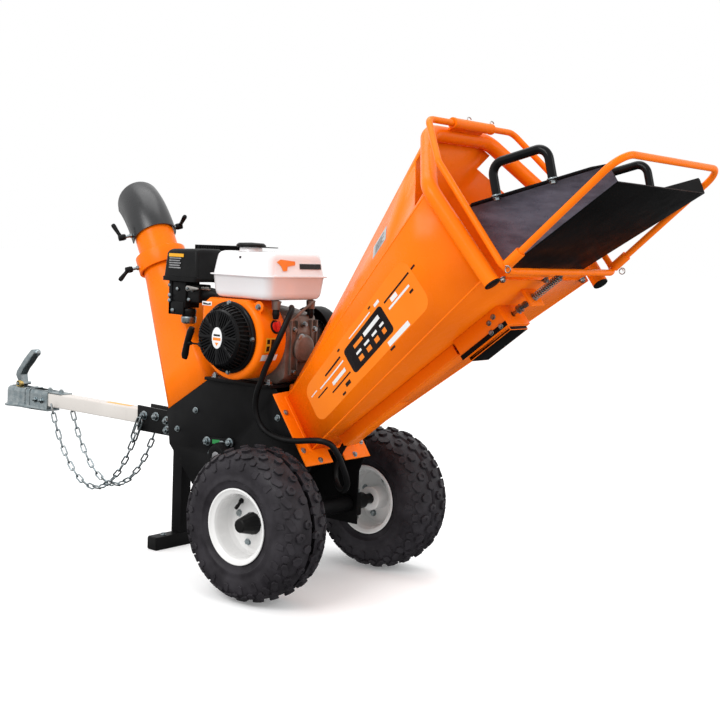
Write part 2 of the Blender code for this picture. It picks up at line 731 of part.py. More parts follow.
def throat_section(inset, out):
    half = [(0.0755, 0.0385), (0.0730, 0.184), (0.0400, 0.2035)]
    near = [on_flange(-(y - inset), up + (inset if k == 0 else -inset * (k - 1)), out)
            for k, (y, up) in enumerate(half)]
    far = [on_flange(y - inset, up + (inset if k == 0 else -inset * (k - 1)), out)
           for k, (y, up) in enumerate(half)]
    return near + far[::-1]


def hopper_body():
    """Six-sided sheet funnel; the two upper corner walls are notched at the mouth."""
    wall = 0.0025
    mouth, throat = -FRAME_TUBE_R - 0.001, FLANGE_T + GAP
    stations = 5
    skins = []
    for inset in (0.0, wall):
        low, high = throat_section(inset, throat), mouth_section(inset, mouth)
        skins.append([[a.lerp(b, k / (stations - 1)) for a, b in zip(low, high)]
                      for k in range(stations)])
    body = place(shell_mesh("hopper_body", *skins), "hopper_body", ORANGE)
    for side in (-1, 1):
        fold = on_mouth(side * 0.236, 0.222, mouth)
        ridge = on_mouth(side * 0.108, 0.380, mouth)
        climb = ridge - fold
        normal = climb.cross(MOUTH_OUT).normalized()

        def corner(a, b, c, fold=fold, climb=climb, normal=normal):
            return fold + climb * a - MOUTH_OUT * b + normal * c

        notch = box_from(f"notch_{'near' if side < 0 else 'far'}", corner,
                         ((0.06, 0.88), (-0.02, 0.040), (-0.02, 0.02)), ORANGE)
        cut(body, notch)


def hopper_flange():
    """Bolting flange with a raised middle, an infeed opening and a hose notch below."""
    outline = [(-0.117, 0.0), (-0.023, 0.0), (-0.023, 0.034), (0.023, 0.034), (0.023, 0.0),
               (0.117, 0.0), (0.117, 0.192), (0.056, 0.196), (0.044, 0.214), (-0.044, 0.214),
               (-0.056, 0.196), (-0.117, 0.192)]
    rings = [[on_flange(y, up, out) for y, up in outline] for out in (0.0, FLANGE_T)]
    flange = place(loft_mesh("hopper_flange", rings), "hopper_flange", ORANGE)
    cutter_rings = [throat_section(0.004, -0.01), throat_section(0.004, 0.02)]
    cut(flange, place(loft_mesh("infeed_opening", cutter_rings), "infeed_opening", ORANGE))


def mirrored_path(near):
    return near + [Vector((p[0], -p[1], p[2])) for p in reversed(near)]


def frame_tube():
    near = [on_mouth(-0.216, -0.006), on_mouth(-0.236, 0.225), on_mouth(-0.110, 0.385)]
    pipe("mouth_frame", rounded(mirrored_path(near), 0.060, 8), FRAME_TUBE_R,
         FRAME_TUBE_R - 0.0025, ORANGE)


def bar_sleeve():
    """Pivot sleeve of the safety bar, with the web that carries it on the frame tube."""
    profile = [(0.0076, -0.075), (0.0115, -0.075), (0.0115, 0.075), (0.0076, 0.075)]
    sleeve = turned("bar_sleeve", profile, SLEEVE, (0, 1, 0), ORANGE, 24)
    low = on_mouth(0, 0.383, FRAME_TUBE_R + 0.0006)
    spans = ((-0.060, 0.060), (-0.003, 0.003), (0.0, BAR_OFFSET - FRAME_TUBE_R - 0.010))
    web = box_from("sleeve_web", lambda a, b, c: low + Vector((0, a, 0)) + MOUTH_UP * b
                   + MOUTH_OUT * c, spans, ORANGE)
    join(sleeve, web)


def safety_bar():
    """Bar round the mouth whose lower rail stops the feed when it is pushed."""
    near = [SLEEVE + Vector((0, -0.045, 0)), SLEEVE + Vector((0, -0.160, 0)),
            on_mouth(-0.221, 0.262, BAR_OFFSET), on_mouth(-0.221, -0.008, BAR_OFFSET)]
    tube("safety_bar", rounded(mirrored_path(near), 0.028, 6), BAR_R, ORANGE, SLEEVE)


def guard_loop():
    """Removable U-shaped rail in front of the tray, pinned to the safety bar."""
    foot = Vector((0.6320, -0.2150, 0.7905))
    climb = Vector((0.743, 0, 0.670)).normalized()
    near = [foot, foot + climb * 0.3060]
    tube("guard_loop", rounded(mirrored_path(near), 0.045, 8), BAR_R, ORANGE, SLEEVE)


ROD_DOWN = 0.0225                # rod centre below the hopper floor


def stop_linkage():
    """Push rod, return spring, bracket, stop switch box and the cable channel."""
    turned("push_rod", [(0.0, 0.535), (0.004, 0.535), (0.004, 0.572), (0.010, 0.572),
                        (0.010, 0.576), (0.0065, 0.576), (0.0065, 0.606), (0.004, 0.606),
                        (0.004, 0.6976), (0.0, 0.6976)],
           under_floor(0, 0, ROD_DOWN), FLOOR_ALONG, ZINC, 16, solid=True)
    turned("return_spring", [(0.0050, 0.6190), (0.0085, 0.6190), (0.0085, 0.6890),
                             (0.0050, 0.6890)],
           under_floor(0, 0, ROD_DOWN), FLOOR_ALONG, ZINC, 20)
    bracket = box_from("rod_bracket", under_floor, ((0.612, 0.617), (-0.026, 0.026),
                                                    (0.0006, 0.042)), ORANGE)
    cut(bracket, disc("rod_hole", 0.0048, under_floor(0.60, 0, ROD_DOWN),
                      under_floor(0.63, 0, ROD_DOWN), ORANGE, 16))
    box = box_from("switch_box", under_floor, ((0.420, 0.555), (-0.045, 0.045),
                                               (0.0006, 0.048)), ORANGE)
    cut(box, disc("rod_bore", 0.0065, under_floor(0.510, 0, ROD_DOWN),
                  under_floor(0.60, 0, ROD_DOWN), ORANGE, 16))
    join(box, box_from("switch_box_cover", under_floor, ((0.428, 0.550), (-0.034, 0.034),
                                                         (0.0475, 0.058)), BLACK))
    section = [(-0.030, 0.0006), (-0.030, 0.026), (0.020, 0.026), (0.020, 0.0006),
               (0.018, 0.0006), (0.018, 0.024), (-0.028, 0.024), (-0.028, 0.0006)]
    rings = [[under_floor(along, y, down) for y, down in section] for along in (0.014, 0.405)]
    place(loft_mesh("cable_channel", rings), "cable_channel", ORANGE)


# ---------------------------------------------------------------- feed tray
TRAY_TOP_SLOPE = Vector((0.280, 0, 0.074)).normalized()


def feed_tray():
    """Folded sheet: floor, two leaning sides and their outward top flanges."""
    inner = [(0.537, 0.2115, 0.9025), (0.517, 0.1900, 0.8972), (0.585, 0.1500, 0.7775)]
    outer = [(0.795, 0.2115, 0.9707), (0.821, 0.1945, 0.9776), (0.838, 0.1880, 0.9465)]
    rows = []
    for row in (inner, outer):
        near = [(x, -y, z) for x, y, z in row]
        rows.append(near + list(reversed(row)))
    count = len(rows[0])
    vertices = rows[0] + rows[1]
    faces = [(i, i + 1, count + i + 1, count + i) for i in range(count - 1)]
    tray = place(mesh_from("feed_tray", vertices, faces), "feed_tray", BLACK, TRAY_HINGE)
    sheet = tray.modifiers.new("sheet", "SOLIDIFY")
    sheet.thickness = 0.0025
    sheet.offset = 0.0


def tray_handles():
    rise = Vector((-TRAY_TOP_SLOPE.z, 0, TRAY_TOP_SLOPE.x))
    for side, name in ((-1, "tray_handle_near"), (1, "tray_handle_far")):
        first = Vector((0.590, side * 0.2030, 0.9165)) + rise * 0.0025
        second = first + TRAY_TOP_SLOPE * 0.126
        path = [first, first + rise * 0.062, second + rise * 0.062, second]
        tube(name, rounded(path, 0.022, 6), 0.0090, PLASTIC, TRAY_HINGE)


# ---------------------------------------------------------------- engine
def engine_block():
    """Crankcase with the inclined cylinder and its head, as one casting."""
    crankcase = [(-0.262, ENGINE_BASE_Z), (-0.088, ENGINE_BASE_Z), (-0.064, 0.492),
                 (-0.060, 0.600), (-0.070, 0.640), (-0.130, 0.652), (-0.215, 0.660),
                 (-0.262, 0.640)]
    cylinder = [(-0.200, 0.565), (-0.204, 0.669), (-0.216, 0.673), (-0.300, 0.697),
                (-0.345, 0.685), (-0.352, 0.610), (-0.330, 0.575), (-0.262, 0.545)]
    casting = bevelled(prism("engine_block", crankcase, -0.0790, 0.0300, ALUMINIUM), 0.004, 1)
    join(casting, bevelled(prism("cylinder", cylinder, -0.0780, 0.0850, ALUMINIUM), 0.004, 1))


FAN_R = 0.101
FAN_FRONT = 0.163


def fan_outline(inset):
    """Round, with a square corner at the upper left."""
    outline = []
    radius = FAN_R - inset
    for k in range(25):
        angle = pi * 0.985 + 1.37 * pi * k / 24
        outline.append((CRANK.x + radius * cos(angle), CRANK.z + radius * sin(angle)))
    outline.append((CRANK.x - 0.080 + inset, 0.6745 - inset))
    outline.append((CRANK.x - 0.100 + inset, 0.660 - inset))
    return outline


def fan_housing():
    """Pressed blower housing, open towards the crankcase."""
    housing = prism("fan_housing", fan_outline(0.0), -FAN_FRONT, -0.0793, ORANGE)
    bevelled(housing, 0.006, 2)
    wall = 0.004
    cut(housing, prism("fan_space", fan_outline(wall), wall - FAN_FRONT, -0.070, ORANGE))


def recoil_starter():
    profile = [(0.0, FAN_FRONT + GAP), (0.0850, FAN_FRONT + GAP), (0.0850, 0.1720),
               (0.0800, 0.1735), (0.0770, 0.1760), (0.0690, 0.1960), (0.0630, 0.2040),
               (0.0560, 0.2060), (0.0, 0.2065)]
    turned("recoil_starter", profile, Vector((CRANK.x, 0, CRANK.z)), (0, -1, 0), PLASTIC, 40,
           solid=True)


PULL_START = Vector((-0.2420, -0.1850, 0.5620))
PULL_DIR = Vector((-1.0, 0.0, 0.0))


def recoil_pull():
    """Grip, and the short rope between it and the starter."""
    grip_at = PULL_START + PULL_DIR * 0.030
    tube("recoil_rope", [PULL_START + PULL_DIR * 0.0012, grip_at - PULL_DIR * GAP], 0.0022,
         PLASTIC, PULL_START, 2)
    along = Vector((0.30, 0.0, 0.954)).normalized()
    centre = grip_at + PULL_DIR * 0.014
    handle = [(0.0, -0.042), (0.0065, -0.040), (0.0090, -0.030), (0.0075, 0.0), (0.0090, 0.030),
              (0.0065, 0.040), (0.0, 0.042)]
    grip = turned("recoil_grip", handle, centre, along, PLASTIC, 16, PULL_START, solid=True)
    join(grip, disc("grip_stem", 0.0045, grip_at, centre, PLASTIC, 12))


def fuel_tank():
    """Two pressed halves with a seam flange, on posts above the engine."""
    def ring(x0, x1, y0, y1, z, cut_corner):
        c = cut_corner
        return [(x0 + c, y0, z), (x1 - c, y0, z), (x1, y0 + c, z), (x1, y1 - c, z),
                (x1 - c, y1, z), (x0 + c, y1, z), (x0, y1 - c, z), (x0, y0 + c, z)]

    x0, x1, y0, y1 = -0.243, -0.046, -0.160, 0.046
    rings = [ring(x0 + 0.022, x1 - 0.022, y0 + 0.022, y1 - 0.022, 0.6760, 0.030),
             ring(x0 + 0.006, x1 - 0.006, y0 + 0.006, y1 - 0.006, 0.6900, 0.030),
             ring(x0 + 0.002, x1 - 0.002, y0 + 0.002, y1 - 0.002, 0.7290, 0.030),
             ring(x0 - 0.005, x1 + 0.005, y0 - 0.005, y1 + 0.005, 0.7300, 0.030),
             ring(x0 - 0.005, x1 + 0.005, y0 - 0.005, y1 + 0.005, 0.7330, 0.030),
             ring(x0 + 0.002, x1 - 0.002, y0 + 0.002, y1 - 0.002, 0.7340, 0.030),
             ring(x0 + 0.008, x1 - 0.008, y0 + 0.008, y1 - 0.008, 0.7790, 0.030),
             ring(x0 + 0.022, x1 - 0.022, y0 + 0.022, y1 - 0.022, 0.7880, 0.030)]
    place(loft_mesh("fuel_tank", rings), "fuel_tank", WHITE)
    cap = [(0.0, 0.7883), (0.0260, 0.7883), (0.0260, 0.7960), (0.0345, 0.7960), (0.0345, 0.8030),
           (0.0300, 0.8070), (0.0, 0.8085)]
    turned("fuel_cap", cap, (-0.155, -0.110, 0.0), (0, 0, 1), PLASTIC, 24,
           Vector((-0.155, -0.110, 0.800)), solid=True)


def air_cleaner():
    low = [(-0.421, 0.7065), (-0.298, 0.7065), (-0.303, 0.780), (-0.309, 0.788), (-0.402, 0.784),
           (-0.412, 0.776)]
    bevelled(prism("air_cleaner", low, -0.152, -0.045, PLASTIC), 0.006, 2)


def carburettor():
    """Carburettor with its float bowl, under the air cleaner."""
    body = block("carburettor", (-0.412, -0.137, 0.622), (-0.308, -0.083, 0.706), PLASTIC)
    join(body, disc("float_bowl", 0.0190, (-0.360, -0.113, 0.600), (-0.360, -0.113, 0.640),
                    ZINC, 20))


def muffler():
    """Muffler in its guard, above the cylinder head on the far side of the air cleaner."""
    guard = block("muffler", (-0.425, -0.038, 0.7035), (-0.262, 0.130, 0.797), STEEL)
    cut(guard, block("guard_space", (-0.421, -0.034, 0.690), (-0.266, 0.126, 0.793), STEEL))


THROTTLE = Vector((-0.3380, -0.1395, 0.6900))
SWITCH_SLANT = radians(17.0)
SWITCH_AXIS = Vector((cos(SWITCH_SLANT), 0, sin(SWITCH_SLANT)))
SWITCH = CRANK + Vector((0, -0.112, 0)) + SWITCH_AXIS * (FAN_R + GAP)


def controls():
    """Throttle lever on the carburettor and the red engine switch on the fan housing."""
    outline = []
    for k in range(9):
        angle = pi / 2 + pi * k / 8
        outline.append((THROTTLE.x + 0.007 * cos(angle), THROTTLE.z + 0.007 * sin(angle)))
    outline += [(THROTTLE.x + 0.038, THROTTLE.z - 0.003),
                (THROTTLE.x + 0.038, THROTTLE.z + 0.004)]
    prism("throttle_lever", outline, -0.1410, -0.1375, PLASTIC, THROTTLE)
    knob = [(0.0, 0.0), (0.0125, 0.0), (0.0125, 0.0060), (0.0090, 0.0080), (0.0080, 0.0150),
            (0.0, 0.0155)]
    turned("engine_switch", knob, SWITCH, SWITCH_AXIS, RED, 20, SWITCH, solid=True)


# ---------------------------------------------------------------- cable conduit
HOSE_POINTS = [(-0.052, -0.074, 0.660), (-0.030, -0.098, 0.654), (-0.026, -0.118, 0.630),
               (-0.031, -0.132, 0.598), (-0.043, -0.139, 0.566), (-0.058, -0.139, 0.537),
               (-0.071, -0.139, 0.513), (-0.081, -0.138, 0.490), (-0.094, -0.135, 0.467),
               (-0.105, -0.130, 0.443), (-0.109, -0.126, 0.419), (-0.105, -0.123, 0.396),
               (-0.092, -0.120, 0.375), (-0.065, -0.120, 0.362), (-0.033, -0.123, 0.357),
               (-0.001, -0.1265, 0.356), (0.032, -0.128, 0.359), (0.063, -0.128, 0.364),
               (0.090, -0.126, 0.367), (0.106, -0.118, 0.365), (0.115, -0.108, 0.358),
               (0.122, -0.098, 0.342), (0.127, -0.090, 0.325), (0.132, -0.082, 0.303),
               (0.132, -0.072, 0.284), (0.123, -0.056, 0.262), (0.096, -0.034, 0.242),
               (0.064, -0.013, 0.240), (0.044, -0.002, 0.254), (0.038, 0.001, 0.274),
               (0.040, 0.001, 0.293), (0.047, 0.000, 0.312), (0.059, -0.002, 0.331),
               (0.076, -0.005, 0.353)]


def conduit():
    tube("cable_conduit", smooth_route(HOSE_POINTS, 40), HOSE_R, PLASTIC, resolution=2)


# ---------------------------------------------------------------- assemble
def centre_on_ground():
    """Move the root so that the origin is under the middle of the machine's box."""
    bpy.context.view_layer.update()
    graph = bpy.context.evaluated_depsgraph_get()
    xs, ys = [], []
    for piece in bpy.data.objects:
        if piece.type not in {"MESH", "CURVE"} or piece.hide_render:
            continue
        shape = piece.evaluated_get(graph)
        mesh = shape.to_mesh()
        for vertex in mesh.vertices:
            world = shape.matrix_world @ vertex.co
            xs.append(world.x)
            ys.append(world.y)
        shape.to_mesh_clear()
    root.location = (-(min(xs) + max(xs)) / 2, -(min(ys) + max(ys)) / 2, 0)
    bpy.context.view_layer.update()


def main():
    side_plates()
    housing_shell()
    engine_plate()
    anvil_knife()
    rotor()
    drive()
    bearings()
    axle()
    stand()
    wheels()
    tow_bracket()
    tow_bar()
    coupler()
    hanging_chain("safety_chain_near", -1)
    hanging_chain("safety_chain_far", 1)
    chute_lower()
    chute_upper()
    deflector_hood()
    chute_levers()
    hopper_body()
    hopper_flange()
    frame_tube()
    bar_sleeve()
    safety_bar()
    guard_loop()
    stop_linkage()
    feed_tray()
    tray_handles()
    engine_block()
    fan_housing()
    recoil_starter()
    recoil_pull()
    fuel_tank()
    air_cleaner()
    carburettor()
    muffler()
    controls()
    conduit()
    centre_on_ground()


main()
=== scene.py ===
"""Looks of the towed wood chipper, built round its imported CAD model.

Shapes are drawn in the machine frame of the design, whose x = 0 is the wheel axle, and every piece
is then moved by SHIFT into the row frame.  Lengths are metres.
"""

import json
from math import cos, cosh, pi, radians, sin, tan

import bmesh
import bpy
from mathutils import Matrix, Vector
from mathutils.bvhtree import BVHTree

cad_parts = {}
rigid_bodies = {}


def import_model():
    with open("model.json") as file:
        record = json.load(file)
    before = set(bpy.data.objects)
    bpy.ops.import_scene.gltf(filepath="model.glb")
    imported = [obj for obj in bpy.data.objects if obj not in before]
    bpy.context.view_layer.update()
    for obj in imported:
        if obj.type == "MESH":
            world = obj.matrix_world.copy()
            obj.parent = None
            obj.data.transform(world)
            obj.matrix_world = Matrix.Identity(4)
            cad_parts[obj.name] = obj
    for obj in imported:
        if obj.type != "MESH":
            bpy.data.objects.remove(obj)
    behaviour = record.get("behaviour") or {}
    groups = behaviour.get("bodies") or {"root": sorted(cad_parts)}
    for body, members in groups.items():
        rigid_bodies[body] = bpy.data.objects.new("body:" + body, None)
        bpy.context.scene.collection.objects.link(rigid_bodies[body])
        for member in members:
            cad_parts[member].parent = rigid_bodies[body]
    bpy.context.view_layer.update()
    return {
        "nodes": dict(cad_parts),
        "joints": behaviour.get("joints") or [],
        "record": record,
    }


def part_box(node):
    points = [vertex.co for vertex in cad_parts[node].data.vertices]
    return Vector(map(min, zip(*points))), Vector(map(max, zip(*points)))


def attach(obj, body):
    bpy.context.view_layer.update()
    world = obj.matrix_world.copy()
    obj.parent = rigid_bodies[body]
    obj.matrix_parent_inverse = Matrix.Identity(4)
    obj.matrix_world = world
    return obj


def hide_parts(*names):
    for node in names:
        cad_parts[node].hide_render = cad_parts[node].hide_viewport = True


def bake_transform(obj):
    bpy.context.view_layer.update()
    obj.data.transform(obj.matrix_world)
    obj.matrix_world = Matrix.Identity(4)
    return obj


for old in list(bpy.data.objects):
    bpy.data.objects.remove(old, do_unlink=True)

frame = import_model()
NODES = frame["nodes"]
RECORD = frame["record"]
JOINTS = {joint["name"]: joint for joint in frame["joints"]}
SHIFT = Vector((JOINTS["wheel_near_spin"]["pos_m"][0], 0.0, 0.0))
X, Y, Z = Vector((1, 0, 0)), Vector((0, 1, 0)), Vector((0, 0, 1))
SIDES = ((-1, "near"), (1, "far"))     # the near side of the machine is at negative y


def joint_point(name):
    """A joint's place in the machine frame."""
    return Vector(JOINTS[name]["pos_m"]) - SHIFT


def box_of(node):
    """A CAD node's corners in the machine frame."""
    low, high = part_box(node)
    return low - SHIFT, high - SHIFT


# ---------------------------------------------------------------- driving places, from the frame
AXLE = joint_point("wheel_near_spin")
WHEEL_RADIUS = AXLE.z
HALF_TRACK = abs(AXLE.y)
CRANK = joint_point("crank_spin")
ROTOR = joint_point("rotor_spin")
SLEEVE = joint_point("stop_bar_push")
COLLAR = joint_point("chute_swivel")
CHUTE_AXIS = Vector(JOINTS["chute_swivel"]["axis"]).normalized()
HOOD_PIVOT = joint_point("hood_tilt")
ACROSS = Vector(JOINTS["hood_tilt"]["axis"]).normalized()
TRAY_HINGE = joint_point("tray_fold")
SWITCH = joint_point("stop_switch_turn")
SWITCH_AXIS = Vector(JOINTS["stop_switch_turn"]["axis"]).normalized()
THROTTLE = joint_point("throttle_turn")
LEVER_PIVOT = joint_point("coupler_lever_hinge")
PLATE_Y = box_of("side_plate_far")[1].y
TOW_LOW, TOW_HIGH = box_of("tow_bar")
TOW_Z = (TOW_LOW.z + TOW_HIGH.z) / 2

FLANGE_BASE = Vector((0.048, 0.0, 0.299))    # lower edge of the hopper flange
FLANGE_UP = Vector((-0.583, 0.0, 0.812)).normalized()
FLANGE_OUT = Vector((0.812, 0.0, 0.583)).normalized()
FLANGE_T = 0.004
MOUTH_BASE = Vector((0.593, 0.0, 0.755))     # lower end of the mouth frame
MOUTH_TILT = radians(51.0)
MOUTH_UP = Vector((-cos(MOUTH_TILT), 0.0, sin(MOUTH_TILT)))
MOUTH_OUT = Vector((sin(MOUTH_TILT), 0.0, cos(MOUTH_TILT)))
FRAME_TUBE_R = 0.017
BAR_R = 0.007
BAR_OFFSET = 0.041
THROAT_LOW = FLANGE_BASE + FLANGE_UP * 0.0385 + FLANGE_OUT * (FLANGE_T + 0.0003)
MOUTH_LOW = MOUTH_BASE + MOUTH_UP * 0.014 - MOUTH_OUT * (FRAME_TUBE_R + 0.001)
FLOOR_ALONG = (MOUTH_LOW - THROAT_LOW).normalized()
FLOOR_LOW = THROAT_LOW + FLOOR_ALONG * 0.04
FLOOR_DOWN = Vector((FLOOR_ALONG.z, 0.0, -FLOOR_ALONG.x))


def on_flange(y, up, out=0.0):
    return FLANGE_BASE + FLANGE_UP * up + FLANGE_OUT * out + Y * y


def on_mouth(y, up, out=0.0):
    return MOUTH_BASE + MOUTH_UP * up + MOUTH_OUT * out + Y * y


def under_floor(along, y, down):
    return FLOOR_LOW + FLOOR_ALONG * along + FLOOR_DOWN * down + Y * y


# ---------------------------------------------------------------- materials
class Shader:
    """A small helper that adds nodes to one material."""

    def __init__(self, name):
        self.material = bpy.data.materials.new(name)
        self.material.use_nodes = True
        self.nodes = self.material.node_tree.nodes
        self.links = self.material.node_tree.links
        self.surface = self.nodes["Principled BSDF"]
        self.place = self.nodes.new("ShaderNodeTexCoord").outputs["Object"]

    def set(self, **values):
        for name, value in values.items():
            self.surface.inputs[name.replace("_", " ")].default_value = value
        return self

    def stretched(self, scale):
        mapping = self.nodes.new("ShaderNodeMapping")
        mapping.inputs["Scale"].default_value = scale
        self.links.new(self.place, mapping.inputs["Vector"])
        return mapping.outputs["Vector"]

    def noise(self, scale, detail=4.0, rough=0.55, place=None):
        noise = self.nodes.new("ShaderNodeTexNoise")
        noise.inputs["Scale"].default_value = scale
        noise.inputs["Detail"].default_value = detail
        noise.inputs["Roughness"].default_value = rough
        self.links.new(place or self.place, noise.inputs["Vector"])
        return noise.outputs["Fac"]

    def ramp(self, source, low, high, from_low=0.35, from_high=0.65):
        """Map a factor onto a span of values."""
        spread = self.nodes.new("ShaderNodeMapRange")
        for name, value in (("From Min", from_low), ("From Max", from_high), ("To Min", low),
                ("To Max", high)):
            spread.inputs[name].default_value = value
        self.links.new(source, spread.inputs["Value"])
        return spread.outputs["Result"]

    def two_tone(self, source, first, second, from_low=0.35, from_high=0.65):
        mix = self.nodes.new("ShaderNodeMix")
        mix.data_type = "RGBA"
        mix.inputs["A"].default_value = (*first, 1.0)
        mix.inputs["B"].default_value = (*second, 1.0)
        self.links.new(self.ramp(source, 0.0, 1.0, from_low, from_high), mix.inputs["Factor"])
        self.links.new(mix.outputs["Result"], self.surface.inputs["Base Color"])
        return self

    def roughness(self, source, low, high):
        self.links.new(self.ramp(source, low, high), self.surface.inputs["Roughness"])
        return self

    def bump(self, source, strength, distance):
        bump = self.nodes.new("ShaderNodeBump")
        bump.inputs["Strength"].default_value = strength
        bump.inputs["Distance"].default_value = distance
        self.links.new(source, bump.inputs["Height"])
        self.links.new(bump.outputs["Normal"], self.surface.inputs["Normal"])
        return self


def coat(name, first, second, low, high, peel, gloss=0.0, shine=0.18):
    """Powder coat or paint: slow colour drift, uneven gloss and an orange-peel surface."""
    made = Shader(name)
    made.two_tone(made.noise(7.0), first, second)
    made.roughness(made.noise(26.0, 6.0), low, high)
    made.bump(made.noise(420.0, 2.0), peel, 0.0002)
    made.set(Coat_Weight=gloss, Coat_Roughness=0.08, Specular_IOR_Level=shine)
    return made.material


def plated(name, first, second, low, high):
    """Zinc plate: a mottled spangle with fine drawn lines."""
    made = Shader(name)
    made.two_tone(made.noise(60.0, 3.0), first, second)
    made.roughness(made.noise(180.0, 4.0), low, high)
    made.bump(made.noise(240.0, 3.0, place=made.stretched((1.0, 4.0, 4.0))), 0.25, 0.0002)
    made.set(Metallic=1.0)
    return made.material


def cast(name, first, second):
    """Sand-cast aluminium with a coarse skin."""
    made = Shader(name)
    made.two_tone(made.noise(30.0, 6.0), first, second)
    made.roughness(made.noise(90.0), 0.42, 0.68)
    made.bump(made.noise(700.0, 5.0), 0.55, 0.0005)
    made.set(Metallic=0.75)
    return made.material


def plastic(name, first, second, low, high, grain, shine=0.22):
    """Moulded plastic with a fine eroded texture."""
    made = Shader(name)
    made.two_tone(made.noise(12.0), first, second)
    made.roughness(made.noise(40.0), low, high)
    made.bump(made.noise(1500.0, 2.0), grain, 0.0002)
    made.set(Specular_IOR_Level=shine)
    return made.material


def tyre_rubber():
    """Black rubber, a little dusty, with a faint violet tint painted in as the rubber's sheen."""
    made = Shader("tyre_rubber")
    made.two_tone(made.noise(22.0, 6.0), (0.017, 0.015, 0.018), (0.034, 0.031, 0.036))
    made.roughness(made.noise(55.0, 6.0), 0.38, 0.6)
    made.bump(made.noise(380.0, 6.0), 0.45, 0.0006)
    made.set(Specular_IOR_Level=0.16)
    return made.material


def fuel_white():
    """White gloss enamel on pressed steel."""
    made = Shader("tank_enamel")
    made.two_tone(made.noise(5.0), (0.77, 0.75, 0.76), (0.82, 0.8, 0.81))
    made.roughness(made.noise(30.0), 0.12, 0.2)
    made.bump(made.noise(300.0, 2.0), 0.06, 0.0002)
    made.set(Coat_Weight=0.6, Coat_Roughness=0.04)
    return made.material


def tray_sheen_coat():
    """Glossy violet-grey paint with streaks: painted sheen that colours the black tray's walls
    lighter, standing for their reflection.
    """
    made = Shader("tray_sheen_coat")
    sheen_streaks = made.noise(14.0, 6.0, 0.65, place=made.stretched((1.0, 1.0, 4.0)))
    made.two_tone(sheen_streaks, (0.062, 0.057, 0.078), (0.118, 0.11, 0.142))
    made.roughness(made.noise(20.0, 6.0, 0.7), 0.16, 0.42)
    made.bump(made.noise(240.0, 3.0), 0.1, 0.0003)
    made.set(Specular_IOR_Level=0.45)
    return made.material


COATS = {"orange_coat": coat("orange_powder_coat", (0.93, 0.166, 0.002), (0.97, 0.184, 0.003), 0.22,
    0.32, 0.22, 0.0, 0.13), "black_coat": coat("black_powder_coat", (0.0045, 0.0045, 0.0048),
    (0.008, 0.008, 0.0084), 0.34, 0.5, 0.45, 0.0, 0.08), "cream_paint": coat("cream_paint",
    (0.62, 0.585, 0.55), (0.67, 0.635, 0.595), 0.26, 0.4, 0.2),
    "zinc": plated("zinc_plate", (0.23, 0.28, 0.3), (0.38, 0.42, 0.43), 0.24, 0.46),
    "steel": plated("bare_steel", (0.26, 0.26, 0.27), (0.42, 0.42, 0.43), 0.3, 0.52),
    "cast_aluminium": cast("cast_aluminium", (0.15, 0.12, 0.1), (0.25, 0.205, 0.18)),
    "white_paint": coat("white_paint", (0.76, 0.75, 0.74), (0.82, 0.82, 0.81), 0.18, 0.3, 0.15,
    0.3), "tank_white": fuel_white(), "tyre": tyre_rubber(), "belt_rubber": plastic("belt_rubber",
    (0.01, 0.01, 0.01), (0.02, 0.02, 0.02), 0.55, 0.75, 0.5),
    "black_plastic": plastic("black_plastic", (0.005, 0.005, 0.0055), (0.009, 0.009, 0.009), 0.3,
    0.46, 0.35, 0.11), "red_plastic": plastic("red_plastic", (0.46, 0.012, 0.008),
    (0.6, 0.02, 0.012), 0.2, 0.32, 0.1),}
EXTRA = {"gloss_black": plastic("gloss_black", (0.004, 0.004, 0.005), (0.007, 0.007, 0.007), 0.1,
    0.18, 0.05, 0.12), "hood_coat": coat("hood_powder_coat", (0.012, 0.0125, 0.014),
    (0.02, 0.021, 0.023), 0.26, 0.36, 0.35, 0.0, 0.55), "tray_sheen_coat": tray_sheen_coat(),
    "white_print": plastic("white_print", (0.74, 0.74, 0.74), (0.8, 0.8, 0.8), 0.3, 0.42, 0.1),
    "black_print": plastic("black_print", (0.012, 0.009, 0.01), (0.02, 0.016, 0.016), 0.2, 0.34,
    0.1), "orange_print": plastic("orange_print", (0.85, 0.2, 0.01), (0.9, 0.26, 0.03), 0.3, 0.42,
    0.1), "amber_print": plastic("amber_print", (0.75, 0.36, 0.02), (0.85, 0.44, 0.03), 0.3, 0.4,
    0.1), "green_print": plastic("green_print", (0.02, 0.2, 0.05), (0.03, 0.28, 0.08), 0.3, 0.4,
    0.1), "faint_print": coat("label_film", (0.93, 0.215, 0.014), (0.96, 0.235, 0.018), 0.1, 0.16,
    0.05, 0.2, 0.3), "foil": plated("label_foil", (0.5, 0.52, 0.54), (0.66, 0.66, 0.66), 0.26, 0.4),
    "spring_steel": plated("spring_steel", (0.34, 0.32, 0.3), (0.5, 0.47, 0.44), 0.22, 0.36),
    "brass": plated("brass_plate", (0.5, 0.36, 0.12), (0.66, 0.5, 0.2), 0.25, 0.4),
    # painted_gap_shade is painted shade: a near-black stand-in for the shadow inside holes and
    # hollows.
    "painted_gap_shade": plastic("painted_gap_shade", (0.002, 0.002, 0.002), (0.004, 0.004, 0.004), 0.7, 0.9, 0.1),}


# ---------------------------------------------------------------- building helpers
def add(name, data, look, body="chassis", stands_for=(), slot=None):
    """Link a mesh or curve drawn in the machine frame, as a piece that rides on a body."""
    piece = bpy.data.objects.new(name, data)
    piece.location = SHIFT
    data.name = name
    bpy.context.scene.collection.objects.link(piece)
    data.materials.append(COATS.get(look) or EXTRA[look])
    if body:
        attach(piece, body)
    if stands_for:
        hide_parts(*stands_for)
    slot or (look if look in COATS else "black_coat")
    return piece


def smooth_mesh(mesh, angle=38.0):
    mesh.shade_smooth()
    mesh.set_sharp_from_angle(angle=radians(angle))
    return mesh


def mesh_of(work, angle=38.0):
    """Turn finished bmesh work into a smooth mesh."""
    mesh = bpy.data.meshes.new("mesh")
    work.to_mesh(mesh)
    work.free()
    return smooth_mesh(mesh, angle)


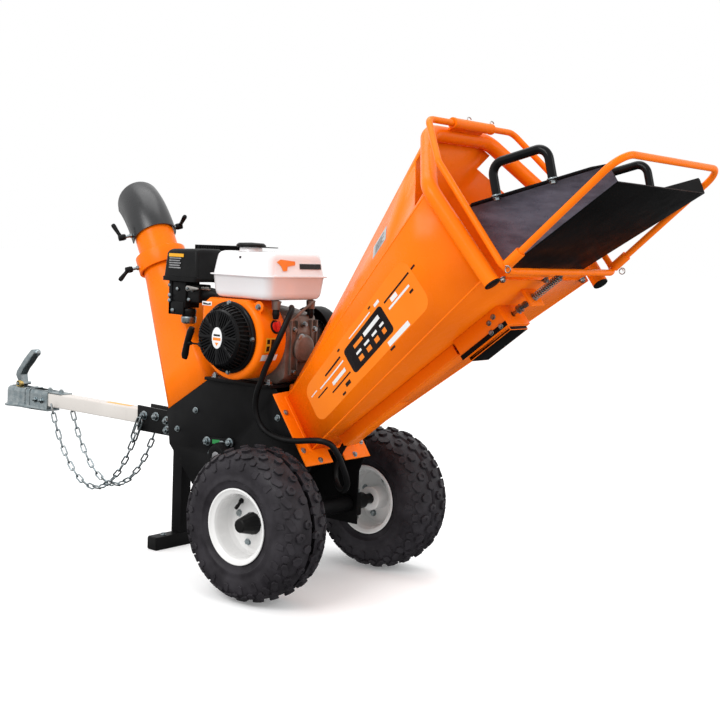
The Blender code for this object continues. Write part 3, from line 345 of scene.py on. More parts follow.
def mesh_from(vertices, faces, angle=38.0):
    work = bmesh.new()
    made = [work.verts.new(v) for v in vertices]
    for face in faces:
        work.faces.new([made[i] for i in face])
    bmesh.ops.remove_doubles(work, verts=work.verts, dist=1e-7)
    bmesh.ops.recalc_face_normals(work, faces=work.faces)
    return mesh_of(work, angle)


def loft(rings, closed=False, angle=38.0):
    """Bridge rings of equal length; the ends are capped unless the loft closes on itself."""
    count = len(rings[0])
    vertices = [point for ring in rings for point in ring]
    faces = []
    for r in range(len(rings) if closed else len(rings) - 1):
        low, high = r * count, ((r + 1) % len(rings)) * count
        for i in range(count):
            j = (i + 1) % count
            faces.append((low + i, low + j, high + j, high + i))
    if not closed:
        faces.append(tuple(range(count)))
        faces.append(tuple(range(len(vertices) - count, len(vertices))))
    return mesh_from(vertices, faces, angle)


def basis(axis):
    axis = Vector(axis).normalized()
    helper = Z if abs(axis.z) < 0.9 else X
    side = axis.cross(helper).normalized()
    return side, axis.cross(side).normalized()


def circle(centre, side, up, radius, count):
    turns = [2 * pi * k / count for k in range(count)]
    return [centre + (side * cos(a) + up * sin(a)) * radius for a in turns]


def headings(route):
    """The direction of a route at each of its points."""
    last = len(route) - 1
    return [(route[min(k + 1, last)] - route[max(k - 1, 0)]).normalized() for k in range(last + 1)]


def turned(profile, centre, axis, segments=96, angle=38.0):
    """Turn (radius, height) points about an axis; a profile may start and end on the axis."""
    centre, axis = Vector(centre), Vector(axis).normalized()
    side, up = basis(axis)
    vertices, rows = [], []
    for radius, height in profile:
        middle = centre + axis * height
        if radius == 0.0:
            rows.append([len(vertices)] * segments)
            vertices.append(middle)
            continue
        rows.append(list(range(len(vertices), len(vertices) + segments)))
        vertices += circle(middle, side, up, radius, segments)
    loop = profile[0][0] > 0.0 and profile[-1][0] > 0.0
    pairs = list(zip(rows, rows[1:])) + ([(rows[-1], rows[0])] if loop else [])
    faces = []
    for low, high in pairs:
        for k in range(segments):
            j = (k + 1) % segments
            corners = list(dict.fromkeys((low[k], low[j], high[j], high[k])))
            if len(corners) > 2:
                faces.append(tuple(corners))
    return mesh_from(vertices, faces, angle)


def spun(profile, radius, centre, axis, segments=96, angle=38.0):
    """A turned piece with rounded corners; a profile that ends where it starts is a ring."""
    path = softened(profile, radius)
    return turned(path[:-1] if profile[0] == profile[-1] else path, centre, axis, segments, angle)


def disc(radius, low, high):
    """Profile of a solid disc or pin."""
    return [(0.0, low), (radius, low), (radius, high), (0.0, high)]


def rect(u0, u1, v0, v1):
    return [(u0, v0), (u1, v0), (u1, v1), (u0, v1)]


def softened(points, radius=0.0012, steps=3):
    """Round the corners of a (radius, height) profile."""
    path = rounded([Vector((r, h, 0)) for r, h in points], radius, steps)
    return [(p.x, p.y) for p in path]


def rounded(points, radius, steps=10):
    """Replace each inner corner of a path by an arc."""
    points = [Vector(p) for p in points]
    route = [points[0]]
    for before, corner, after in zip(points, points[1:], points[2:]):
        back = (before - corner).normalized()
        ahead = (after - corner).normalized()
        half = back.angle(ahead) / 2
        if half > radians(88.0):
            route.append(corner)
            continue
        reach = min(radius / tan(half), (before - corner).length * 0.49,
            (after - corner).length * 0.49)
        bend = reach * tan(half)
        centre = corner + (back + ahead).normalized() * (bend / sin(half))
        first, last = corner + back * reach - centre, corner + ahead * reach - centre
        sweep = first.angle(last)
        for k in range(steps + 1):
            share = k / steps
            route.append(centre + (first * sin((1 - share) * sweep) + last * sin(share * sweep))
                / sin(sweep))
    route.append(points[-1])
    return route


def both_sides(near):
    """A path on the near side and its mirror image on the far side."""
    return near + [Vector((p.x, -p.y, p.z)) for p in reversed(near)]


def upright(outline, *places):
    """Rings of an (x, z) outline at several y."""
    return [[Vector((x, y, z)) for x, z in outline] for y in places]


def round_outline(points, radius, steps=5):
    """Round every corner of a closed (u, v) outline."""
    looped = [Vector((u, v, 0)) for u, v in points]
    middle = (looped[0] + looped[-1]) / 2
    path = rounded([middle] + looped + [middle], radius, steps)
    return [(p.x, p.y) for p in path[:-1]]


def tube(route, radius, resolution=6):
    """A smooth round bar along a path, as a curve with filled caps."""
    curve = bpy.data.curves.new("curve", "CURVE")
    curve.dimensions = "3D"
    curve.bevel_depth = radius
    curve.bevel_resolution = resolution
    curve.use_fill_caps = True
    spline = curve.splines.new("POLY")
    spline.points.add(len(route) - 1)
    for slot, point in zip(spline.points, route):
        slot.co = (*point, 1.0)
    spline.use_smooth = True
    return curve


def round_bar(route, radius, sides=12):
    """A smooth round bar along a path, as a mesh."""
    side = basis(route[1] - route[0])[0]
    rings = []
    for point, ahead in zip(route, headings(route)):
        side = (side - ahead * side.dot(ahead)).normalized()
        rings.append(circle(point, side, ahead.cross(side), radius, sides))
    return loft(rings)


def merged(meshes, angle=38.0):
    """One mesh that holds several."""
    work = bmesh.new()
    for part in meshes:
        work.from_mesh(part)
    return mesh_of(work, angle)


def plate(outline, origin, u, v, thickness, bevel=0.0):
    """A flat piece from an (u, v) outline, its face raised along u x v."""
    u, v = Vector(u).normalized(), Vector(v).normalized()
    normal = u.cross(v).normalized()
    rings = [[Vector(origin) + u * a + v * b + normal * lift for a, b in outline]
        for lift in (0.0, thickness)]
    mesh = loft(rings)
    return bevelled_mesh(mesh, bevel) if bevel else mesh


def bevelled_mesh(mesh, width, segments=3, least=30.0):
    """Round the sharp edges of a mesh."""
    work = bmesh.new()
    work.from_mesh(mesh)
    edges = [e for e in work.edges if len(e.link_faces) == 2
        and e.calc_face_angle(0.0) > radians(least)]
    bmesh.ops.bevel(work, geom=edges, offset=width, segments=segments, profile=0.5, affect="EDGES",
        clamp_overlap=True)
    return mesh_of(work)


def block(low, high, bevel=0.0):
    rings = [[Vector((x, y, z)) for x, y in ((low[0], low[1]), (high[0], low[1]),
        (high[0], high[1]), (low[0], high[1]))] for z in (low[2], high[2])]
    mesh = loft(rings)
    return bevelled_mesh(mesh, bevel) if bevel else mesh


def slanted_block(corner_of, spans, bevel=0.0):
    (a0, a1), (b0, b1), (c0, c1) = spans
    rings = [[corner_of(a, b, c) for a, b in ((a0, b0), (a1, b0), (a1, b1), (a0, b1))]
        for c in (c0, c1)]
    mesh = loft(rings)
    return bevelled_mesh(mesh, bevel) if bevel else mesh


def hexagon(at, axis, across, low, high, chamfer=0.0006):
    """A hexagonal head or nut standing on a point."""
    side, up = basis(axis)
    axis = Vector(axis).normalized()
    radius = across / tan(pi / 3)
    rings = []
    for scale, height in ((1.0, low), (1.0, high - chamfer), (1.0 - chamfer / radius, high)):
        rings.append([Vector(at) + axis * height + (side * cos(pi * k / 3) + up * sin(pi * k / 3))
            * radius * scale for k in range(6)])
    return loft(rings)


def bolt(at, axis, across=0.01, head=0.005, washer=0.0068, stud=0.0):
    """Washer, hexagonal head, and a stud if it is a nut."""
    parts = [spun(disc(washer, 0.0, 0.0011), 0.0003, at, axis, 28),
        hexagon(at, axis, across, 0.0011, 0.0011 + head)]
    if stud:
        top = 0.0011 + head + stud
        parts.append(spun(disc(across * 0.3, 0.0, top), 0.0005, at, axis, 20))
    else:
        top = 0.0011 + head
        parts.append(turned([(0.0, top - 0.0002), (across * 0.36, top - 0.0002),
            (across * 0.34, top + 0.0004), (0.0, top + 0.0005)], at, axis, 20))
    return parts


def fasteners(name, spots, body="chassis", look="zinc", **sizes):
    """A group of identical bolts; each spot is a point and the way its head faces."""
    parts = []
    for at, axis in spots:
        parts += bolt(at, axis, **sizes)
    return add(name, merged(parts), look, body)


def dome(at, axis, radius, height):
    profile = [(0.0, 0.0), (radius, 0.0)]
    profile += [(radius * cos(a), height * sin(a)) for a in (pi / 2 * k / 8 for k in range(1, 8))]
    return turned(profile + [(0.0, height)], at, axis, 28)


def smooth_route(points, count):
    """Points spaced evenly along a Catmull-Rom curve through the given points."""
    points = [Vector(p) for p in points]
    ends = [points[0] * 2 - points[1]] + points + [points[-1] * 2 - points[-2]]
    fine = []
    for a, b, c, d in zip(ends, ends[1:], ends[2:], ends[3:]):
        for k in range(20):
            t = k / 20
            fine.append(0.5 * (2 * b + (c - a) * t + (2 * a - 5 * b + 4 * c - d) * t ** 2
                + (3 * b - a - 3 * c + d) * t ** 3))
    fine.append(points[-1])
    steps = [0.0]
    for a, b in zip(fine, fine[1:]):
        steps.append(steps[-1] + (b - a).length)
    route, at = [], 0
    for k in range(count):
        target = steps[-1] * k / (count - 1)
        while at < len(fine) - 2 and steps[at + 1] < target:
            at += 1
        share = (target - steps[at]) / (steps[at + 1] - steps[at])
        route.append(fine[at].lerp(fine[at + 1], min(share, 1.0)))
    return route


def route_length(route):
    return sum((b - a).length for a, b in zip(route, route[1:]))


# ---------------------------------------------------------------- camera, light and floor
def camera():
    """The viewing angle: from the near side of the hopper end, a little above the wheels."""
    turn, pitch, roll = radians(39.059), radians(5.401), radians(2.261)
    ahead = Vector((-sin(turn) * cos(pitch), cos(turn) * cos(pitch), -sin(pitch)))
    right = Vector((cos(turn), sin(turn), 0))
    up = right.cross(ahead)
    side = right * cos(roll) + up * sin(roll)
    top = up * cos(roll) - right * sin(roll)
    lens = bpy.data.cameras.new("camera")
    lens.sensor_width = 36.0
    lens.lens = 62.2145
    eye = bpy.data.objects.new("camera", lens)
    place = Vector((1.919, -2.24, 0.819)) + SHIFT
    eye.matrix_world = Matrix(((side.x, top.x, -ahead.x, place.x),
        (side.y, top.y, -ahead.y, place.y), (side.z, top.z, -ahead.z, place.z), (0, 0, 0, 1)))
    bpy.context.scene.collection.objects.link(eye)
    bpy.context.scene.camera = eye


def soft_box(name, place, aim, width, height, watts):
    lamp = bpy.data.lights.new(name, "AREA")
    lamp.shape = "RECTANGLE"
    lamp.size, lamp.size_y = width, height
    lamp.energy = watts
    holder = bpy.data.objects.new(name, lamp)
    holder.location = place
    holder.rotation_euler = (Vector(aim) - Vector(place)).to_track_quat("-Z", "Y").to_euler()
    bpy.context.scene.collection.objects.link(holder)


def studio():
    """Pale floor, pale surroundings and three soft boxes."""
    world = bpy.data.worlds.new("studio")
    bpy.context.scene.world = world
    world.use_nodes = True
    nodes, links = world.node_tree.nodes, world.node_tree.links
    split = nodes.new("ShaderNodeSeparateXYZ")
    links.new(nodes.new("ShaderNodeTexCoord").outputs["Generated"], split.inputs["Vector"])
    fade = nodes.new("ShaderNodeMapRange")
    for name, value in (("From Min", -0.3), ("From Max", -0.02), ("To Max", 1.0)):
        fade.inputs[name].default_value = value
    below = nodes.new("ShaderNodeMapRange")
    below.inputs["To Min"].default_value = 0.86
    below.inputs["To Max"].default_value = 0.06
    links.new(nodes.new("ShaderNodeLightPath").outputs["Is Glossy Ray"], below.inputs["Value"])
    links.new(below.outputs["Result"], fade.inputs["To Min"])
    links.new(split.outputs["Z"], fade.inputs["Value"])
    nodes["Background"].inputs["Color"].default_value = (1.0, 1.0, 1.0, 1.0)
    links.new(fade.outputs["Result"], nodes["Background"].inputs["Strength"])
    aim = (0.0, 0.0, 0.5)
    soft_box("key_light", (0.2, -3.2, 3.0), aim, 2.2, 1.6, 72.0)
    soft_box("top_light", (-0.6, 0.4, 3.6), aim, 2.6, 2.2, 38.0)
    soft_box("side_light", (3.4, 0.6, 1.8), aim, 1.4, 1.8, 20.0)
    paint = Shader("floor_paint")
    paint.two_tone(paint.noise(3.0), (0.9, 0.9, 0.9), (0.94, 0.94, 0.94))
    paint.set(Roughness=0.9, Specular_IOR_Level=0.0, Emission_Color=(1.0, 1.0, 1.0, 1.0),
        Emission_Strength=0.16)
    half = 40.0
    mesh = mesh_from([(-half, -half, 0), (half, -half, 0), (half, half, 0), (-half, half, 0)],
        [(0, 1, 2, 3)])
    mesh.materials.append(paint.material)
    floor = bpy.data.objects.new("floor", mesh)
    floor.location.z = -0.0004
    floor.visible_diffuse = False
    floor.visible_glossy = False
    bpy.context.scene.collection.objects.link(floor)
    view = bpy.context.scene.view_settings
    view.view_transform = "Standard"
    view.look = "None"


# ---------------------------------------------------------------- cords
HOSE_R = 0.007
HOSE_POINTS = [(-0.052, -0.074, 0.66), (-0.03, -0.098, 0.654), (-0.026, -0.118, 0.63),
    (-0.031, -0.132, 0.598), (-0.043, -0.139, 0.566), (-0.058, -0.139, 0.537),
    (-0.071, -0.139, 0.513), (-0.081, -0.138, 0.49), (-0.094, -0.135, 0.467),
    (-0.105, -0.13, 0.443), (-0.109, -0.126, 0.419), (-0.105, -0.123, 0.396),
    (-0.092, -0.12, 0.375), (-0.065, -0.12, 0.362), (-0.033, -0.123, 0.357),
    (-0.001, -0.1265, 0.356), (0.032, -0.128, 0.359), (0.063, -0.128, 0.364), (0.09, -0.126, 0.367),
    (0.106, -0.118, 0.365), (0.115, -0.108, 0.358), (0.122, -0.098, 0.342), (0.127, -0.09, 0.325),
    (0.132, -0.082, 0.303), (0.132, -0.072, 0.284), (0.123, -0.056, 0.262), (0.096, -0.034, 0.242),
    (0.064, -0.013, 0.24), (0.044, -0.002, 0.254), (0.038, 0.001, 0.274), (0.04, 0.001, 0.293),
    (0.047, 0.0, 0.312), (0.059, -0.002, 0.331), (0.076, -0.005, 0.353)]


def conduit():
    """Black cable conduit from the engine to the channel under the hopper."""
    route = smooth_route(HOSE_POINTS, 160)
    hose = add("conduit", tube(route, HOSE_R), "black_plastic", stands_for=["cable_conduit"])


LINK_WIRE = 0.0023
LINK_WIDTH = 0.0165
LINKS = 24


def chain_route(side, count=65):
    """The hanging line of one safety chain, a catenary between the coupler and the bracket."""
    start, end = Vector((-1.01, side * 0.0345, 0.318)), Vector((-0.622, side * 0.0345, 0.33))
    spread = 0.112
    middle = (start.x + end.x) / 2 - 0.002
    lowest = start.z - spread * (cosh((start.x - middle) / spread) - 1)
    route = []
    for k in range(count):
        x = start.x + (end.x - start.x) * k / (count - 1)
        route.append(Vector((x, start.y, lowest + spread * (cosh((x - middle) / spread) - 1))))
    return route


def link_mesh(centre, along, across, length, width, wire):
    """One welded oval chain link."""
    normal = along.cross(across).normalized()
    straight = (length - width) / 2
    half = width / 2 - wire
    path = []
    for k in range(20):
        angle = 2 * pi * k / 20
        shift = straight if cos(angle) > 0 else -straight
        path.append(centre + along * (cos(angle) * half + shift) + across * (sin(angle) * half))
    rings = []
    for k, point in enumerate(path):
        ahead = (path[(k + 1) % 20] - path[k - 1]).normalized()
        out = ahead.cross(normal).normalized()
        rings.append(circle(point, out, normal, wire, 8))
    return loft(rings, closed=True)


def evenly(route, step):
    """Points a fixed step apart along a route, with the direction at each."""
    spots, left = [], 0.0
    for a, b in zip(route, route[1:]):
        length = (b - a).length
        while left <= length:
            spots.append((a.lerp(b, left / length), (b - a).normalized()))
            left += step
        left -= length
    return spots


def chains():
    """Two hanging safety chains, and the snap hook near the bracket end of the near one."""
    for side, name in SIDES:
        route = chain_route(side)
        parts = []
        pitch = route_length(route) / LINKS
        spots = evenly(route, pitch)[:LINKS]
        for k, (point, along) in enumerate(spots):
            level = along.cross(Y).normalized()
            across = (Y + level) if k % 2 else (Y - level)
            middle = point + along * pitch / 2
            parts.append(link_mesh(middle, along, across.normalized(), pitch + 3.6 * LINK_WIRE,
                LINK_WIDTH, LINK_WIRE))
        chain = add(f"chain_{name}", merged(parts, 60.0), "zinc",
            stands_for=[f"safety_chain_{name}"])
        if side < 0:
            point, along = spots[-3]
            across = along.cross(Y).normalized()
            add("snap_hook", link_mesh(point.lerp(route[-1], 0.5), along, across, 0.076, 0.028,
                0.0026), "zinc")


# ---------------------------------------------------------------- wheels
KNOB_HEIGHT = 0.007
CARCASS = [(0.1708, 0.0), (0.1706, 0.012), (0.1695, 0.026), (0.1672, 0.038), (0.163, 0.049),
    (0.1565, 0.058), (0.148, 0.0645), (0.138, 0.068), (0.129, 0.068), (0.12, 0.0665),
    (0.112, 0.0655), (0.108, 0.067), (0.1045, 0.0665), (0.102, 0.0635), (0.096, 0.0605),
    (0.0905, 0.0598), (0.0872, 0.0585)]


def carcass_point(reach):
    """(radius, lateral) at a signed distance along the section from the crown, and its normal."""
    sign = -1.0 if reach < 0 else 1.0
    left = abs(reach)
    for (r0, l0), (r1, l1) in zip(CARCASS, CARCASS[1:]):
        length = ((r1 - r0) ** 2 + (l1 - l0) ** 2) ** 0.5
        if left <= length:
            share = left / length
            along = ((r1 - r0) / length, (l1 - l0) / length)
            return (r0 + (r1 - r0) * share, sign * (l0 + (l1 - l0) * share), along[1],
                sign * -along[0])
        left -= length
    return (*CARCASS[-1], 0.0, sign)


def knob(work, turn, reach, outline, height, centre, side, inset=0.0016, dimple=False):
    """Raise one tread block on the carcass; the outline is (around, across) in metres."""
    def point(around, across, lift):
        radius, lateral, out, sideways = carcass_point(reach + across)
        angle = turn + around / radius
        r = radius + out * lift
        return centre + Vector((r * cos(angle), side * (lateral + sideways * lift), r * sin(angle)))

    mean = [sum(p[i] for p in outline) / len(outline) for i in (0, 1)]
    radius = max(abs(complex(u - mean[0], v - mean[1])) for u, v in outline)
    shrink = 1 - inset / radius
    top = [(mean[0] + (u - mean[0]) * shrink, mean[1] + (v - mean[1]) * shrink) for u, v in outline]
    rows = [[point(u, v, -0.002) for u, v in outline], [point(u, v, height - 0.0008)
        for u, v in outline], [point(u, v, height) for u, v in top]]
    if dimple:
        inner = [(mean[0] + (u - mean[0]) * 0.42, mean[1] + (v - mean[1]) * 0.42)
            for u, v in outline]
        rows.append([point(u, v, height) for u, v in inner])
        rows.append([point(mean[0] + (u - mean[0]) * 0.8, mean[1] + (v - mean[1]) * 0.8,
            height - 0.0022) for u, v in inner])
    verts = [[work.verts.new(p) for p in row] for row in rows]
    count = len(outline)
    for low, high in zip(verts, verts[1:]):
        for i in range(count):
            j = (i + 1) % count
            work.faces.new((low[i], low[j], high[j], high[i]))
    work.faces.new(verts[-1])
    work.faces.new(verts[0][::-1])


def hex_outline(radius, stretch=1.0, lean=0.0):
    return [(radius * stretch * cos(pi * k / 3 + lean), radius * sin(pi * k / 3 + lean))
        for k in range(6)]


CHEVRON = [(-0.0135, -0.0075), (-0.0045, -0.0105), (0.0135, -0.001), (0.0135, 0.0065),
    (0.0045, 0.009), (-0.012, 0.0005)]
BAR = [(-0.0065, -0.0095), (0.0045, -0.0095), (0.008, 0.006), (0.002, 0.0105), (-0.0065, 0.007)]


def tyre(word, side):
    """Knobbly tyre: carcass with sidewall ribs, hexagonal crown blocks and shoulder lugs."""
    centre = Vector((0, side * HALF_TRACK, WHEEL_RADIUS))
    inner = [(0.0775, 0.054), (0.0872, 0.0585)]
    outer = [(r, -l) for r, l in reversed(CARCASS[1:])]
    profile = inner[:1] + list(reversed(CARCASS)) + outer + [(0.0775, -0.054)]
    body = turned(profile, centre, (0, side, 0), 144, 50.0)
    work = bmesh.new()
    work.from_mesh(body)
    pitches = 20
    for k in range(pitches):
        turn = 2 * pi * k / pitches
        half = pi / pitches
        for hand in (-1, 1):
            shift = 0.0 if hand < 0 else half
            mirror = [(u, v * hand) for u, v in CHEVRON]
            bars = [(u, v * hand) for u, v in BAR]
            knob(work, turn + shift, hand * 0.0135, hex_outline(0.0105), KNOB_HEIGHT - 0.0003,
                centre, side, dimple=k % 2 == 0)
            knob(work, turn + shift + half, hand * 0.035, hex_outline(0.0118, 1.0, 0.25 * hand),
                KNOB_HEIGHT - 0.0003, centre, side, dimple=k % 2 == 1)
            knob(work, turn + shift + half * 0.1, hand * 0.056, mirror, KNOB_HEIGHT - 0.0012,
                centre, side)
            knob(work, turn + shift + half * 1.15, hand * 0.062, hex_outline(0.0088, 1.1, 0.5),
                KNOB_HEIGHT - 0.0016, centre, side)
            knob(work, turn + shift + half * 0.15, hand * 0.08, bars, 0.0032, centre, side)
    bmesh.ops.recalc_face_normals(work, faces=work.faces)
    add(f"tread_{word}", mesh_of(work, 32.0), "tyre", f"wheel_{word}", [f"tyre_{word}"])


def rim(word, side):
    """One-piece rim with its disc, lug bolts, valve and dust cap."""
    body = f"wheel_{word}"
    centre = Vector((0, side * HALF_TRACK, WHEEL_RADIUS))
    profile = [(0.013, 0.008), (0.013, -0.045), (0.03, -0.045), (0.03, -0.006), (0.066, -0.003),
        (0.07, -0.012), (0.071, -0.048), (0.076, -0.059), (0.083, -0.0625), (0.0868, -0.064),
        (0.0868, -0.0605), (0.079, -0.057), (0.0775, -0.053), (0.0775, 0.053), (0.079, 0.057),
        (0.0868, 0.0605), (0.0868, 0.064), (0.0832, 0.064), (0.08, 0.06), (0.074, 0.056),
        (0.0722, 0.049), (0.0712, 0.016), (0.068, 0.005), (0.06, 0.002), (0.048, 0.004),
        (0.03, 0.0065), (0.02, 0.008)]
    mesh = spun(profile + profile[:1], 0.0016, centre, (0, side, 0), 128)
    add(f"rim_{word}_disc", mesh, "white_paint", body, stands_for=[f"rim_{word}"])
    out = Vector((0, side, 0))
    cap = [(0.0, 0.004), (0.0262, 0.004), (0.0262, 0.01), (0.0245, 0.0135), (0.0158, 0.05),
        (0.0135, 0.0518), (0.0, 0.052)]
    add(f"hub_cap_{word}", turned(cap, centre, out, 12, 20.0), "black_plastic", body,
        slot="black_plastic")
    lugs = []
    for k in range(4):
        angle = radians(161.0) + k * pi / 2
        spot = centre + Vector((cos(angle), 0, sin(angle))) * 0.048 + out * 0.0036
        lugs.append((spot, out))
        lugs.append((spot - out * 0.009, -out))
    fasteners(f"lug_bolts_{word}", lugs, body, across=0.012, head=0.0052, washer=0.0085)
    valve_at = centre + Vector((cos(radians(132.5)), 0, sin(radians(132.5)))) * 0.062
    lean = (out * 0.8 - (valve_at - centre).normalized() * 0.45).normalized()
    stem = [(0.0, 0.0), (0.0062, 0.0), (0.006, 0.006), (0.004, 0.01), (0.0036, 0.023),
        (0.0044, 0.024), (0.0044, 0.034), (0.0036, 0.0352), (0.0, 0.0355)]
    add(f"valve_{word}", turned(softened(stem, 0.0005, 2), valve_at + out * 0.0015, lean, 24),
        "black_plastic", body)


def wheels():
    for side, word in SIDES:
        tyre(word, side)
        rim(word, side)


# ---------------------------------------------------------------- chassis
def link_bar():
    """Black strap with three zinc nuts and a green sticker on the near side plate."""
    face = -PLATE_Y - 0.0003
    ends = [Vector((-0.291, face, 0.314)), Vector((-0.213, face, 0.32))]
    along = (ends[1] - ends[0]).normalized()
    up = along.cross(-Y).normalized()
    half, length = 0.0095, (ends[1] - ends[0]).length
    outline = round_outline(rect(-0.014, length + 0.014, -half, half), 0.009)
    mesh = plate([(u, -v) for u, v in outline], ends[0], along, -up, 0.004, 0.0006)
    add("link_bar", mesh, "black_coat")
    lift = -Y * 0.0042
    spots = [(ends[0] + lift, -Y), (Vector((-0.24, face, 0.31)) + lift, -Y), (ends[1] + lift, -Y)]
    fasteners("link_bar_nuts", spots, across=0.015, head=0.0075, washer=0.0115, stud=0.003)
    label = plate(rect(0.018, 0.044, 0.005, -0.005), ends[0] + lift, along, -up, 0.0004)
    add("link_label", label, "green_print")


def chassis_bolts():
    """Bolts of the tow bracket, side plates, engine plate and axle clamp."""
    bracket_y = box_of("tow_bracket")[0].y
    places = ((-0.617, 0.333), (-0.57, 0.335), (-0.527, 0.329), (-0.524, 0.304))
    for hand, word in SIDES:
        spots = [(Vector((x, hand * abs(bracket_y), z)), Y * hand) for x, z in places]
        fasteners(f"bracket_bolts_{word}", spots, across=0.016, head=0.008, washer=0.0125,
            stud=0.004)
        face = hand * PLATE_Y
        spots = [(Vector((x, face, z)), Y * hand) for x, z in ((-0.0602, 0.399), (0.006, 0.156),
            (-0.34, 0.385), (-0.405, 0.33))]
        fasteners(f"plate_bolts_{word}", spots, across=0.01, head=0.005, washer=0.008)
        top = box_of("engine_plate")[1].z
        spots = [(Vector((x, hand * 0.1005, top + 0.0003)), Z) for x in (-0.274, -0.092)]
        fasteners(f"engine_bolts_{word}", spots, across=0.013, head=0.007, washer=0.01, stud=0.004)
    # A near-black disc painted in as the shade inside the side plate's hole.
    add("plate_hole_shade", turned(disc(0.0045, 0.0, 0.0004), (-0.3902, -PLATE_Y, 0.2574), -Y, 24),
        "painted_gap_shade")


def bearing_covers():
    """Pressed bearing housings with their two bolts each."""
    for hand, word in SIDES:
        node = f"rotor_bearing_{word}"
        low, high = box_of(node)
        reach = high.y - low.y
        start = Vector((ROTOR.x, hand * (PLATE_Y + 0.0003), ROTOR.z))
        profile = [(0.013, 0.0), (0.0338, 0.0), (0.0338, reach * 0.55), (0.0262, reach),
            (0.013, reach), (0.013, 0.0)]
        mesh = spun(profile, 0.002, start, Y * hand, 64)
        add(f"bearing_{word}", mesh, "black_coat", stands_for=[node])
        spots = [(start + Vector((0.044 * s, -hand * 0.0003, 0)), Y * hand) for s in (-1, 1)]
        fasteners(f"bearing_bolts_{word}", spots, across=0.013, head=0.006, washer=0.01)


def axle_clamps():
    """Square clamp blocks and U-bolt nuts that hold the axle under the side plates."""
    for hand, word in SIDES:
        inner, outer = sorted((hand * PLATE_Y, hand * (PLATE_Y + 0.022)))
        low, high = Vector((-0.026, inner, 0.1485)), Vector((0.026, outer, 0.2065))
        add(f"axle_clamp_{word}", block(low, high, 0.003), "black_coat")
        middle = (low.y + high.y) / 2
        spots = [(Vector((x, middle, z)), face) for z, face in ((high.z, Z), (low.z, -Z))
            for x in (-0.017, 0.017)]
        fasteners(f"axle_clamp_nuts_{word}", spots, across=0.013, head=0.007, washer=0.0085,
            stud=0.003)


def stand():
    """Caps and bolts of the cross foot."""
    low, high = box_of("stand_foot")
    for hand, word in SIDES:
        edge = low.y if hand < 0 else high.y
        outline = round_outline(rect(low.x + 0.001, high.x - 0.001, low.z + 0.001, high.z - 0.001),
            0.004)
        shift = Vector((0, edge + (hand * 0.0002), 0))
        mesh = plate([(u, v * -hand) for u, v in outline], shift, X, Z * -hand, 0.0025, 0.0008)
        add(f"foot_plug_{word}", mesh, "black_plastic")
    spots = [(Vector(((low.x + high.x) / 2, y, high.z)), Z) for y in (-0.06, 0.06)]
    fasteners("foot_bolts", spots, across=0.01, head=0.005, washer=0.0075)


def tow_gear():
    """Coupler bolts, and the locking lever's end ball, spring and pivot pin."""
    spots = [(Vector((x, hand * 0.0243, 0.323)), Y * hand) for hand in (-1, 1)
        for x in (-1.072, -1.1)]
    fasteners("coupler_bolts", spots, across=0.013, head=0.006, washer=0.0095, stud=0.003)
    corner = box_of("coupler_lever")[1]
    centre = Vector((corner.x - 0.004, 0, corner.z - 0.006))
    ball = [(0.011 * sin(pi * k / 12), -0.011 * cos(pi * k / 12)) for k in range(13)]
    ball[0], ball[-1] = (0.0, -0.011), (0.0, 0.011)
    add("lever_knob", turned(ball, centre - Z * 0.003, X, 40), "zinc", "coupler_latch")
    turns, steps = 6, 14
    coils = []
    for k in range(turns * steps + 1):
        angle = 2 * pi * k / steps
        coils.append(Vector((LEVER_PIVOT.x + 0.0095 * cos(angle), -0.0205 + 0.0012 * k / steps * 2,
            LEVER_PIVOT.z - 0.001 + 0.0095 * sin(angle))))
    add("latch_spring", tube(coils, 0.0011, 3), "brass", "coupler_latch")
    add("latch_pin", spun(disc(0.0045, -0.0235, 0.0235), 0.0008, LEVER_PIVOT, Y, 28), "zinc",
        "coupler_latch")


def coupler():
    """Pressed coupler body: rounded nose over the ball, ribs and a rolled lower edge."""
    nose_x, rear_x = -1.213, -1.045

    def outline(radius, rear, half, steps=24):
        points = [(rear, -half), (nose_x + 0.045, -half)]
        for k in range(steps + 1):
            angle = -pi / 2 - pi * k / steps
            points.append((nose_x + radius * cos(angle), radius * sin(angle)))
        return points + [(nose_x + 0.045, half), (rear, half)]

    levels = [(0.0416, -1.12, 0.03, 0.293), (0.0416, -1.12, 0.03, 0.2962),
        (0.035, -1.046, 0.0252, 0.299), (0.0338, rear_x, 0.0242, 0.303),
        (0.0335, rear_x, 0.0242, 0.338), (0.0318, rear_x + 0.0002, 0.0236, 0.3455),
        (0.027, rear_x + 0.0005, 0.0205, 0.35), (0.02, rear_x - 0.001, 0.015, 0.3519)]
    rings = [[Vector((x, y, z)) for x, y in outline(radius, rear, half)]
        for radius, rear, half, z in levels]
    inner = [[Vector((x, y, z)) for x, y in outline(radius, rear, half)]
        for radius, rear, half, z in ((0.018, rear_x - 0.003, 0.0215, 0.34),
        (0.031, rear_x - 0.002, 0.0218, 0.33), (0.032, rear_x - 0.001, 0.022, 0.293))]
    mesh = loft(rings + inner, closed=True, angle=50.0)
    add("coupler_shell", mesh, "zinc", stands_for=["coupler_body"])
    for k, x in enumerate((-1.15, -1.128)):
        ridge = tube(rounded([Vector((x, -0.0246, 0.303)), Vector((x, -0.0246, 0.352)),
            Vector((x, 0.0246, 0.352)), Vector((x, 0.0246, 0.303))], 0.006), 0.0016, 4)
        add(f"coupler_rib_{k}", ridge, "zinc")


